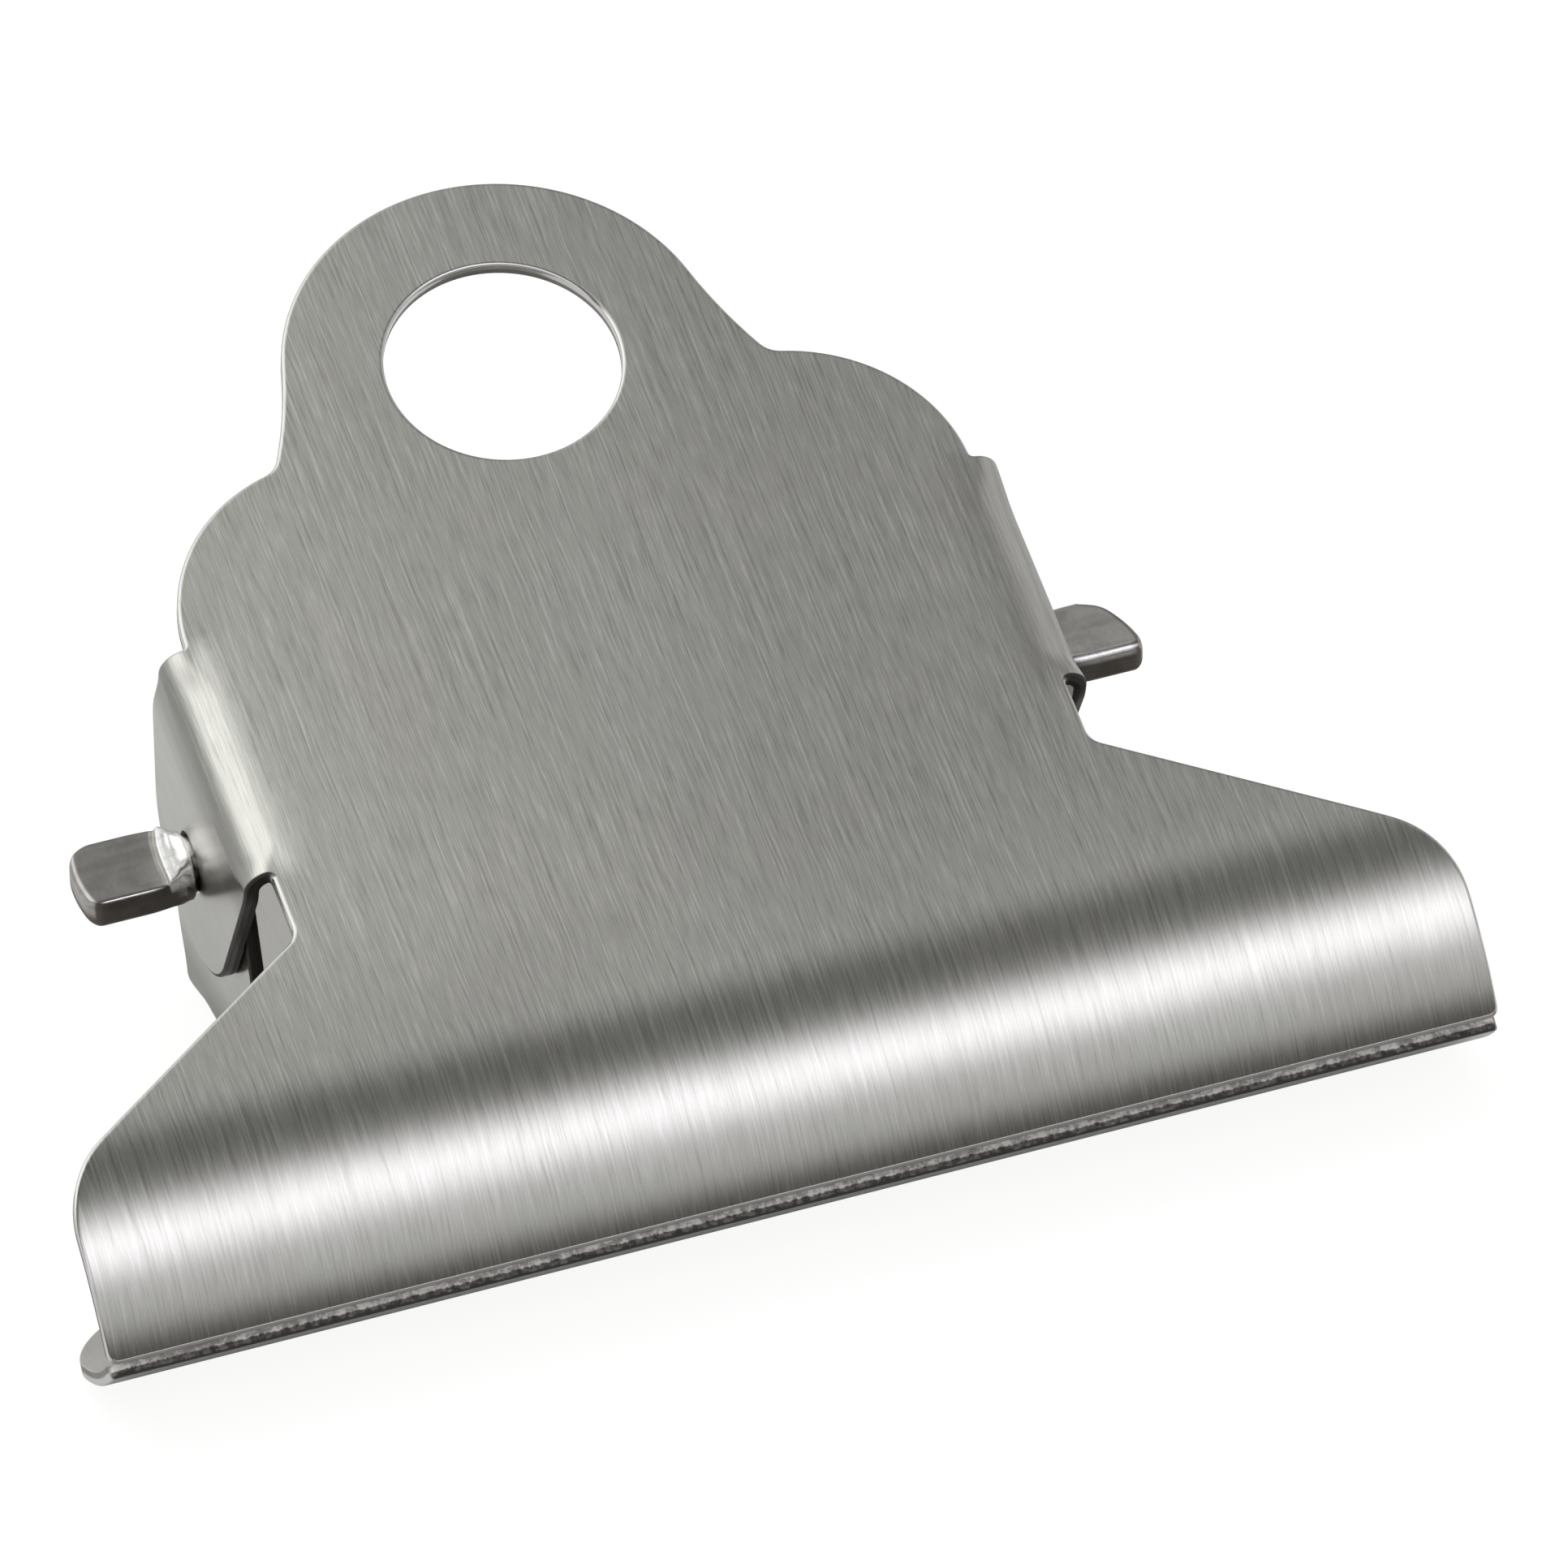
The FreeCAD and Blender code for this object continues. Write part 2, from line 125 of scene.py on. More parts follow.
def arc(start, end, centre):
    """Points along the shorter arc about centre, close together."""
    radius = math.dist(start, centre)
    first = math.atan2(start[1] - centre[1], start[0] - centre[0])
    turn = math.atan2(end[1] - centre[1], end[0] - centre[0]) - first
    turn = (turn + math.pi) % (2 * math.pi) - math.pi
    count = max(2, int(abs(turn) * radius / 0.05))
    angle = first + turn * np.linspace(0, 1, count + 1)
    return np.stack([centre[0] + radius * np.cos(angle), centre[1] + radius * np.sin(angle)], 1)


def travelled(points):
    step = np.linalg.norm(np.diff(points, axis=0), axis=1)
    return np.concatenate([[0], np.cumsum(step)])


def joined(first, second, cut):
    """Two runs that meet in a corner, with the corner rounded off over the length cut."""
    if cut <= 0:
        return np.concatenate([first[:-1], second])
    corner = first[-1]
    back = travelled(first)
    ahead = travelled(second)
    a = first[back < back[-1] - cut]
    b = second[ahead > cut]
    t = np.linspace(0, 1, max(6, int(cut / 0.03)))[1:-1, None]
    bow = a[-1] * (1 - t) ** 2 + corner * 2 * t * (1 - t) + b[0] * t ** 2
    return np.concatenate([a, bow, b])


def circle_between(first, second, radius):
    """Centre of the circle of that radius through two points, on the side of the clip's middle."""
    middle = ((first[0] + second[0]) / 2, (first[1] + second[1]) / 2)
    half = math.dist(first, second) / 2
    rise = math.sqrt(radius ** 2 - half ** 2)
    return (
        middle[0] + (second[1] - first[1]) / (2 * half) * rise,
        middle[1] - (second[0] - first[0]) / (2 * half) * rise,
    )


def touch_point(outside, centre, radius, side):
    away = math.dist(outside, centre)
    heading = math.atan2(outside[1] - centre[1], outside[0] - centre[0])
    angle = heading + side * math.acos(radius / away)
    return centre[0] + radius * math.cos(angle), centre[1] + radius * math.sin(angle)


def along_jaw(points):
    """Turns places seen from above into places along the curled sheet."""
    out = points.copy()
    curled = out[:, 1] < JAW_START
    reach = np.clip((JAW_START - out[curled, 1]) / JAW_RADIUS, 0, 1)
    out[curled, 1] = JAW_START - JAW_RADIUS * np.arcsin(reach)
    return out


def right_half(face, pin):
    """The blank's right edge from the handle's tip to the middle of the lip. pin is its hole's (u, depth)."""
    head = (0.0, HEAD_PLACE)
    reach = HEAD_RADIUS + FLARE_RADIUS
    away = math.dist(head, NECK)
    along = (reach ** 2 - FLARE_RADIUS ** 2 + away ** 2) / (2 * away)
    across = math.sqrt(reach ** 2 - along ** 2)
    unit = ((NECK[0] - head[0]) / away, (NECK[1] - head[1]) / away)
    flare = (head[0] + unit[0] * along - unit[1] * across, head[1] + unit[1] * along + unit[0] * across)
    share = HEAD_RADIUS / reach
    head_side = (head[0] + (flare[0] - head[0]) * share, head[1] + (flare[1] - head[1]) * share)
    shoulder_end = (face - SHOULDER_INSET, EAR_BACK)
    shoulder = circle_between(NECK, shoulder_end, SHOULDER_RADIUS)

    # On the ear, s goes on from the bend's end as depth does.
    bend_end = face - BEND_RADIUS + BEND_LENGTH

    def on_ear(u, depth):
        return bend_end + depth - BEND_RADIUS, u

    pin_at = on_ear(*pin)
    front = on_ear(EAR_FRONT, BEND_RADIUS)
    back = on_ear(EAR_BACK, BEND_RADIUS)
    heel = on_ear(*HEEL)
    front_touch = touch_point(front, pin_at, EAR_RADIUS, 1)
    heel_touch = touch_point(heel, pin_at, EAR_RADIUS, -1)
    lowest = (pin_at[0] + EAR_RADIUS, pin_at[1])

    notch_x = face - NOTCH_INSET
    slope = math.tan(WING_SLOPE)
    wing = (math.cos(WING_SLOPE), -math.sin(WING_SLOPE))
    half_turn = math.tan((math.pi / 2 - WING_SLOPE) / 2)
    notch_y = WING_PLACE[1] - slope * (notch_x - WING_PLACE[0])
    side_y = WING_PLACE[1] - slope * (HALF_WIDTH - WING_PLACE[0])
    notch_reach = NOTCH_CORNER * half_turn
    side_reach = WING_CORNER * half_turn
    notch_top = (notch_x, notch_y + notch_reach)
    notch_end = (notch_x + wing[0] * notch_reach, notch_y + wing[1] * notch_reach)
    side_start = (HALF_WIDTH - wing[0] * side_reach, side_y - wing[1] * side_reach)
    side_top = (HALF_WIDTH, side_y - side_reach)
    lip_corner = (HALF_WIDTH, JAW_START - JAW_RADIUS * math.sin(JAW_ANGLE))
    notch_centre = (notch_x + NOTCH_CORNER, notch_top[1])
    side_centre = (HALF_WIDTH - WING_CORNER, side_top[1])

    # Each run, and the length over which its corner with the next one is rounded off.
    runs = [
        (arc((0.0, HEAD_PLACE + HEAD_RADIUS), head_side, head), 0.0),
        (arc(head_side, NECK, flare), 0.7),
        (arc(NECK, shoulder_end, shoulder), 0.3),
        (line(shoulder_end, back), 0.5),
        (line(back, heel), 0.9),
        (line(heel, heel_touch), 0.0),
        (arc(heel_touch, lowest, pin_at), 0.0),
        (arc(lowest, front_touch, pin_at), 0.0),
        (line(front_touch, front), 0.6),
        (line(front, (notch_x, EAR_FRONT)), 0.35),
        (line((notch_x, EAR_FRONT), notch_top), 0.0),
        (arc(notch_top, notch_end, notch_centre), 0.0),
        (along_jaw(line(notch_end, side_start)), 0.0),
        (along_jaw(arc(side_start, side_top, side_centre)), 0.0),
        (along_jaw(line(side_top, lip_corner)), 0.6),
        (along_jaw(line(lip_corner, (0.0, lip_corner[1]))), 0.0),
    ]
    whole = runs[0][0]
    for (_, cut), (run, _) in zip(runs, runs[1:]):
        whole = joined(whole, run, cut)
    return whole


# How far a straight edge of the mesh may stray from the outline's arc.
CHORD_SAG = 0.003


def thinned(points, face):
    """Picks points from a dense closed run: close together where it turns or where the sheet is bent.
    Also gives the direction into the sheet at each, which lies to the run's left."""
    ahead = np.roll(points, -2, axis=0)
    behind = np.roll(points, 2, axis=0)
    heading = np.arctan2(*(ahead - points).T[::-1])
    came = np.arctan2(*(points - behind).T[::-1])
    turn = np.abs((heading - came + np.pi) % (2 * np.pi) - np.pi)
    step = np.linalg.norm(ahead - behind, axis=1) / 2
    radius = step / np.maximum(turn, 1e-6)
    radius = np.minimum.reduce([np.roll(radius, k) for k in range(-4, 5)])
    gap = np.clip(np.sqrt(8 * radius * CHORD_SAG), 0.07, 1.1)
    on_bend = (np.abs(points[:, 0]) > face - BEND_RADIUS - 0.3) & (np.abs(points[:, 0]) < face + 1.6)
    on_bend &= points[:, 1] > EAR_FRONT - 0.4
    gap = np.where(on_bend, np.minimum(gap, 0.2), gap)
    gap = np.where(points[:, 1] < JAW_START + 0.3, np.minimum(gap, 0.6), gap)
    place = travelled(points)
    picked = []
    last = -1e9
    for k in range(len(points)):
        if place[k] - last >= gap[k]:
            picked.append(k)
            last = place[k]
    if place[-1] + math.dist(points[-1], points[0]) - last < 0.04:
        picked.pop()
    tangent = ahead - behind
    tangent /= np.linalg.norm(tangent, axis=1)[:, None]
    inward = np.stack([-tangent[:, 1], tangent[:, 0]], 1)
    return points[picked], inward[picked]


def ring(centre, radius, count):
    """A hole's edge, run clockwise so that the sheet is on its left."""
    angle = -np.linspace(0, 2 * np.pi, count, endpoint=False)
    out = np.stack([np.cos(angle), np.sin(angle)], 1)
    return np.array(centre) + out * radius, out


# ------------------------------------------------------------------ bending the blank

# How far along the ear its bend takes to come to full size, from the front and from the back.
FRONT_EASE = 2.0
BACK_EASE = 3.4


def outer_face(s, u, face):
    """Where (s, u) of the blank's outer face is after bending, as (x, y, depth)."""
    side = np.where(s < 0, -1.0, 1.0)
    a = np.abs(s)
    curl = np.clip((JAW_START - u) / JAW_RADIUS, 0, None)
    x = a.copy()
    y = np.where(u < JAW_START, JAW_START - JAW_RADIUS * np.sin(curl), u)
    depth = JAW_RADIUS * (1 - np.cos(curl))

    # The bend starts further out and is tighter at the ear's two ends, where the flat sheet holds it back.
    middle = face - BEND_RADIUS
    at_front = 1 - fade((u - EAR_FRONT) / FRONT_EASE)
    at_back = 1 - fade((EAR_BACK - u) / BACK_EASE)
    start = middle + (BEND_RADIUS - NOTCH_INSET) * at_front + (BEND_RADIUS - SHOULDER_INSET) * at_back
    radius = face - start
    bend_end = middle + BEND_LENGTH
    length = radius * np.pi / 2 + BEND_RADIUS - radius
    run = np.clip((a - start) / (bend_end - start), 0, 1) * length
    angle = np.minimum(run / radius, np.pi / 2)
    on_bend = (u > EAR_FRONT - FRONT_EASE) & (a > start)
    x = np.where(on_bend, start + radius * np.sin(angle), x)
    past_bend = np.maximum(run - radius * np.pi / 2, 0) + np.maximum(a - bend_end, 0)
    depth = np.where(on_bend, radius * (1 - np.cos(angle)) + past_bend, depth)
    return np.stack([x * side, y, depth], 1)


def unit(v):
    return v / np.maximum(np.linalg.norm(v, axis=1), 1e-12)[:, None]


def bent(s, u, face):
    """Outer face point, outward normal and the two directions in the sheet."""
    near = 0.01
    point = outer_face(s, u, face)
    along_s = unit(outer_face(s + near, u, face) - outer_face(s - near, u, face))
    along_u = unit(outer_face(s, u + near, face) - outer_face(s, u - near, face))
    return point, -unit(np.cross(along_s, along_u)), along_s, along_u


# How far the sheet's normal leans at the end of its crown and at the start of an ear's bend.
CROWN = 0.045
CROWN_REACH = 21.0
EASE_INTO_BEND = 0.13


def lean(s, u, face, phase):
    """The slight crown and waviness that a pressed sheet has, as how far its normal leans along s and u."""
    flat = 1 - fade((np.abs(s) - face + BEND_RADIUS) / 1.2) * (u > EAR_FRONT - 1)
    crown = CROWN * np.sin(np.clip(s / CROWN_REACH, -1, 1) * np.pi / 2) * fade((u - 2) / 12)
    beside_ear = fade((u - EAR_FRONT + 1) / 2) * fade((EAR_BACK + 1.1 - u) / 2)
    ease = np.sign(s) * EASE_INTO_BEND * fade((np.abs(s) - (face - 3.8)) / 1.7) * beside_ear
    wave_s = 0.004 * np.sin(s * 0.31 + u * 0.05 + phase) + 0.003 * np.sin(s * 0.17 - u * 0.13 + 2 * phase)
    wave_u = 0.004 * np.sin(u * 0.23 + s * 0.07 + 3 * phase) + 0.002 * np.sin(u * 0.61 - s * 0.11 + phase)
    return (crown + ease + wave_s) * flat, wave_u * flat


# Edge profile from the outer face to the inner one: how far in from the edge, how deep, and the way it faces
# (out from the edge, up from the face). The outer rim is drawn down by the cut, the inner one is crisp.
ROLL_IN = 0.24
ROLL_DOWN = 0.17
INNER_RIM = 0.07


def edge_profile():
    rows = []
    for angle in np.radians((0, 15, 30, 45, 60, 75, 90)):
        facing = unit(np.array([[math.sin(angle) / ROLL_IN, math.cos(angle) / ROLL_DOWN]]))[0]
        rows.append((ROLL_IN * (1 - math.sin(angle)), ROLL_DOWN * (1 - math.cos(angle)), *facing))
    for depth in (0.32, 0.44, 0.56, 0.68):
        rows.append((0.0, depth, 1.0, 0.0))
    for angle in np.radians((0, 30, 60, 90)):
        inset = INNER_RIM * (1 - math.cos(angle))
        depth = GAUGE - INNER_RIM * (1 - math.sin(angle))
        rows.append((inset, depth, math.cos(angle), -math.sin(angle)))
    return rows


def inside(points, loops):
    """Even-odd test of points against closed loops."""
    hit = np.zeros(len(points), bool)
    for loop in loops:
        a = loop
        b = np.roll(loop, -1, axis=0)
        for (x0, y0), (x1, y1) in zip(a, b):
            if y0 == y1:
                continue
            crosses = (points[:, 1] < y0) != (points[:, 1] < y1)
            at = x0 + (points[:, 1] - y0) / (y1 - y0) * (x1 - x0)
            hit ^= crosses & (points[:, 0] < at)
    return hit


def filled(loops, face):
    """Triangles that fill the blank inside its loops. Gives all points, the loops' first, and the triangles.
    The grid of inner points is close on the jaw's curl and closest on the ears' bends."""
    rim = np.concatenate(loops)
    middle = face - BEND_RADIUS
    grid = []
    jaw_end = JAW_START - JAW_RADIUS * JAW_ANGLE
    for u in np.arange(jaw_end + 0.5, JAW_START, 0.55):
        grid += [(s, u) for s in np.arange(-37.5, 37.6, 1.5)]
    for u in np.arange(JAW_START, HEAD_PLACE + HEAD_RADIUS, 1.25):
        below_ear = u < EAR_FRONT - 0.5
        grid += [(s, u) for s in np.arange(-36.25, 36.3, 1.25) if below_ear or abs(s) < middle - 0.4]
    fine = np.arange(middle - 0.15, middle + BEND_LENGTH + 0.2, 0.19)
    coarse = np.arange(middle + BEND_LENGTH + 0.8, middle + BEND_LENGTH + 16, 1.1)
    for u in np.concatenate([np.arange(EAR_FRONT + 0.15, EAR_FRONT + 2.2, 0.3),
                             np.arange(EAR_FRONT + 2.4, EAR_BACK - 2.2, 0.9),
                             np.arange(EAR_BACK - 2.1, EAR_BACK, 0.3)]):
        for s in fine:
            grid += [(s, u), (-s, u)]
    for u in np.arange(EAR_FRONT, EAR_BACK + 1, 1.1):
        for s in coarse:
            grid += [(s, u), (-s, u)]
    grid = np.array(grid)
    grid = grid[inside(grid, loops)]
    nearest = np.array([np.min(np.sum((rim - p) ** 2, axis=1)) for p in grid])
    reach = np.where(np.abs(grid[:, 0]) > middle - 0.3, 0.11, 0.42)
    reach = np.where(grid[:, 1] < EAR_FRONT - 0.5, 0.42, reach)
    grid = grid[nearest > reach ** 2]
    points = np.concatenate([rim, grid])
    edges = []
    first = 0
    for loop in loops:
        count = len(loop)
        edges += [(first + k, first + (k + 1) % count) for k in range(count)]
        first += count
    verts, _, faces, origin, _, _ = delaunay_2d_cdt([Vector(p) for p in points], edges, [], 0, 1e-7)
    names = [o[0] if o else -1 for o in origin]
    centres = np.array([[sum(verts[k].x for k in f) / 3, sum(verts[k].y for k in f) / 3] for f in faces])
    keep = inside(centres, loops)
    tris = []
    for f, kept in zip(faces, keep):
        if not kept:
            continue
        a, b, c = [Vector(points[names[k]]) for k in f]
        order = [names[k] for k in f]
        if (b - a).cross(c - a) < 0:
            order.reverse()
        tris.append(order)
    return points, tris


def make_plate(node, phase):
    """The finished plate: outer face, edge profile all round and in every hole, inner face."""
    face = EAR_FACE[node]
    place = PLACE[node]
    pin = place.inverted() @ Vector(HINGE)
    half = right_half(face, (pin.y, pin.z))
    left = half[::-1].copy()
    left[:, 0] *= -1
    # Run against the clock, the sheet is on the left: down the left side and up the right.
    whole = np.concatenate([left[::-1][:-1], half[::-1][:-1]])
    loops = [thinned(whole, face), ring((0, HEAD_PLACE), HOLE_RADIUS, 96)]
    pin_s = face - BEND_RADIUS + BEND_LENGTH + pin.z - BEND_RADIUS
    loops += [ring((side * pin_s, pin.y), PIN_HOLE_RADIUS, 48) for side in (-1, 1)]
    profile = edge_profile()

    blank, deep, facing, rim, front_edge_shade, lip = [], [], [], [], [], []
    faces = []
    seed = np.random.default_rng(7 + int(phase * 10))

    def add_cap(row, upward):
        inset, depth = profile[row][:2]
        flat = [p + w * inset for p, w in loops]
        points, tris = filled(flat, face)
        rim_count = sum(len(p) for p in flat)
        extra = points[rim_count:]
        first_rim = row * rim_count
        start = len(profile) * rim_count + sum(len(b) for b in caps)
        caps.append(extra)
        cap_depth.append((depth, upward))
        for tri in tris:
            order = [first_rim + k if k < rim_count else start + k - rim_count for k in tri]
            faces.append(order[::-1] if upward > 0 else order)

    for row, (inset, depth, out, up) in enumerate(profile):
        for p, w in loops:
            count = len(p)
            rough = np.zeros(count)
            if 0.4 < depth < 0.74:
                jitter = seed.uniform(-1, 1, count)
                rough = 0.012 * (jitter + np.roll(jitter, 1)) * 0.5
            blank.append(p + w * (inset + np.maximum(rough, 0))[:, None])
            deep.append(np.full(count, depth))
            facing.append(np.concatenate([-w * out, np.full((count, 1), up)], 1))
            rim.append(np.full(count, out))
            # Cut edges that face the front, away from the lips and the handles, get painted shade.
            to_front = fade((w[:, 1] - 0.25) / 0.5) * float(fade(out / 0.2))
            at_lip = p[:, 1] < JAW_START - JAW_RADIUS * JAW_ANGLE + 2.0
            front_edge_shade.append(np.where(at_lip | (p[:, 1] > EAR_BACK), 0.0, to_front))
            lip.append(np.where(at_lip, to_front, 0.0))
    total = sum(len(p) for p, _ in loops)
    for row in range(len(profile) - 1):
        first = row * total
        for p, _ in loops:
            count = len(p)
            for k in range(count):
                a, b = first + k, first + (k + 1) % count
                faces.append((a, b, b + total, a + total))
            first += count
    caps, cap_depth = [], []
    add_cap(0, 1)
    add_cap(len(profile) - 1, -1)
    for extra, (depth, up) in zip(caps, cap_depth):
        blank.append(extra)
        deep.append(np.full(len(extra), depth))
        facing.append(np.tile([0.0, 0.0, float(up)], (len(extra), 1)))
        rim.append(np.zeros(len(extra)))
        front_edge_shade.append(np.zeros(len(extra)))
        lip.append(np.zeros(len(extra)))

    blank = np.concatenate(blank)
    deep = np.concatenate(deep)
    facing = np.concatenate(facing)
    rim = np.concatenate(rim)
    front_edge_shade = np.concatenate(front_edge_shade)
    lip = np.concatenate(lip)
    point, normal, along_s, along_u = bent(blank[:, 0], blank[:, 1], face)
    co = point - normal * deep[:, None]
    lean_s, lean_u = lean(blank[:, 0], blank[:, 1], face, phase)
    up = facing[:, 2:3]
    look = along_s * facing[:, 0:1] + along_u * facing[:, 1:2] + normal * up
    look = unit(look + np.abs(up) * np.sign(up) * (along_s * lean_s[:, None] + along_u * lean_u[:, None]))

    turn = np.array(place.to_3x3())
    co = co @ turn.T + np.array(place.translation)
    look = look @ turn.T
    mesh = bpy.data.meshes.new(node + "_sheet")
    mesh.from_pydata((co * MM).tolist(), [], faces)
    mesh.polygons.foreach_set("use_smooth", [True] * len(mesh.polygons))
    uv = mesh.uv_layers.new(name="blank")
    loop_vert = np.zeros(len(mesh.loops), np.int32)
    mesh.loops.foreach_get("vertex_index", loop_vert)
    flat_uv = 0.5 + blank[loop_vert] / 100.0
    flat_uv[:, 0] += deep[loop_vert] / 100.0 * 3.1
    uv.data.foreach_set("uv", flat_uv.astype(np.float32).ravel())
    # Painted shade: a darker band on the outer face where an ear leaves the bend.
    past = np.abs(blank[:, 0]) - (face - BEND_RADIUS)
    band = fade((past - 1.35) / 1.3) * (1 - fade((past - 3.6) / 3.4))
    band = band * fade((blank[:, 1] - EAR_FRONT + 0.5) / 1.0)
    marks = {"rim": rim, "cut": deep / GAUGE, "front_edge_shade": front_edge_shade, "lip": lip}
    marks["bend_painted_shade"] = band * (1 - deep / GAUGE)
    # Marks the lower plate's lip, whose drawn rim gets painted shade.
    marks["under"] = lip if node == "lower_plate" else lip * 0
    for name, values in marks.items():
        mark = mesh.attributes.new(name, "FLOAT", "POINT")
        mark.data.foreach_set("value", values.astype(np.float32))
    mesh.validate(clean_customdata=False)
    mesh.normals_split_custom_set_from_vertices([tuple(n) for n in look])
    obj = bpy.data.objects.new(node + "_sheet", mesh)
    bpy.context.scene.collection.objects.link(obj)
    return obj


# ------------------------------------------------------------------ pin and spring

def skin(name, rings):
    """A closed tube through rings of points, with a fan of triangles on each end."""
    rings = np.array(rings)
    count = rings.shape[1]
    verts = rings.reshape(-1, 3).tolist()
    faces = []
    for r in range(len(rings) - 1):
        for k in range(count):
            a, b = r * count + k, r * count + (k + 1) % count
            faces.append((a, b, b + count, a + count))
    for end, order in ((0, -1), (len(rings) - 1, 1)):
        centre = rings[end].mean(0)
        verts.append(centre.tolist())
        hub = len(verts) - 1
        for k in range(count):
            tri = (end * count + k, end * count + (k + 1) % count, hub)
            faces.append(tri if order > 0 else tri[::-1])
    mesh = bpy.data.meshes.new(name)
    mesh.from_pydata((np.array(verts) * MM).tolist(), [], faces)
    mesh.polygons.foreach_set("use_smooth", [True] * len(mesh.polygons))
    uv = mesh.uv_layers.new(name="blank")
    along = np.zeros(len(verts))
    middle = rings.mean(1)
    along[:len(rings) * count] = np.repeat(travelled(middle), count)
    along[len(rings) * count + 1] = travelled(middle)[-1]
    around = np.zeros(len(verts))
    around[:len(rings) * count] = np.tile(np.arange(count) / count, len(rings))
    loop_vert = np.zeros(len(mesh.loops), np.int32)
    mesh.loops.foreach_get("vertex_index", loop_vert)
    pair = np.stack([around[loop_vert], along[loop_vert] / 100.0], 1)
    uv.data.foreach_set("uv", pair.astype(np.float32).ravel())
    obj = bpy.data.objects.new(name, mesh)
    bpy.context.scene.collection.objects.link(obj)
    return obj


# The pin's squeezed ends, the tabs: where they end, half width and half thickness, the corners' radii seen from
# above at the back (1) and the front (-1), and the tip's rounding above (1) and below (-1).
TAB_END = 29.6
TAB_HALF = 2.2
TAB_THICK = 0.975
CORNERS = {1: 1.25, -1: 0.65}
END_ROUND = {1: 0.34, -1: 0.62}
LOWER_EDGE = 0.42
# Where the neck begins to spread, to thin from above and to thin from below.
SPREAD_START = 23.22
SLOPE_START = 23.55
NECK_START = 23.5
STEP_PLACE = 24.74


def rounded_off(to_end, radius):
    """How much a rounded corner takes off at a distance from the end."""
    return radius - math.sqrt(max(0.0, radius ** 2 - max(0.0, radius - to_end) ** 2))


def pin_section(x, edge_radius):
    """Half widths to the back and front, half thicknesses up and down, and the radii of the upper and lower
    edges of the pin at a distance x from the clip's middle."""
    spread = 0.75 * float(fade((x - SPREAD_START) / 0.4))
    spread += 0.25 * float(fade((x - SPREAD_START - 0.58) / 2.4))
    half = PIN_RADIUS + (TAB_HALF - PIN_RADIUS) * spread
    # From above, the neck slopes down and ends in a small step and a dip.
    slope = 0.60 * min(1.0, max(0.0, (x - SLOPE_START) / 1.25))
    ramp = slope + 0.4 * float(fade((x - STEP_PLACE) / 0.16))
    dip = 0.03 * math.exp(-((x - STEP_PLACE - 0.21) / 0.09) ** 2)
    top = PIN_RADIUS + (TAB_THICK - PIN_RADIUS) * ramp - dip
    below = PIN_RADIUS + (TAB_THICK - PIN_RADIUS) * float(fade((x - NECK_START) / 1.3))
    squared = float(fade((x - NECK_START) / 1.2))
    radii = {}
    for side, height, edge in ((1, top, edge_radius), (-1, below, LOWER_EDGE)):
        radii[side] = (0.96 * min(height, half)) * (1 - squared) + edge * squared
    to_end = TAB_END - x
    widths = {side: half - rounded_off(to_end, CORNERS[side]) for side in (1, -1)}
    heights = {
        1: top - rounded_off(to_end, END_ROUND[1]),
        -1: below - rounded_off(to_end, END_ROUND[-1]),
    }
    return widths, heights, radii


# Shares of a straight side of the pin's outline at which it has points, close together at its ends.
RUN_STEPS = (0.03, 0.12, 0.3, 0.5, 0.7, 0.88, 0.97)


def pin_ring(x, edge_radius):
    """The pin's outline at a distance x from the middle, from its back side upwards, as (across, up)."""
    widths, heights, radii = pin_section(x, edge_radius)
    corners = []
    for across, up, first in ((1, 1, 0), (-1, 1, 90), (-1, -1, 180), (1, -1, 270)):
        radius = min(radii[up], 0.97 * heights[up], 0.97 * widths[across])
        centre = np.array([across * (widths[across] - radius), up * (heights[up] - radius)])
        angle = np.radians(np.linspace(first, first + 90, 8))
        corners.append(centre + radius * np.stack([np.cos(angle), np.sin(angle)], 1))
    points = []
    for corner, following in zip(corners, corners[1:] + corners[:1]):
        points += list(corner)
        start, end = corner[-1], following[0]
        points += [start + (end - start) * t for t in RUN_STEPS]
    return np.array(points)


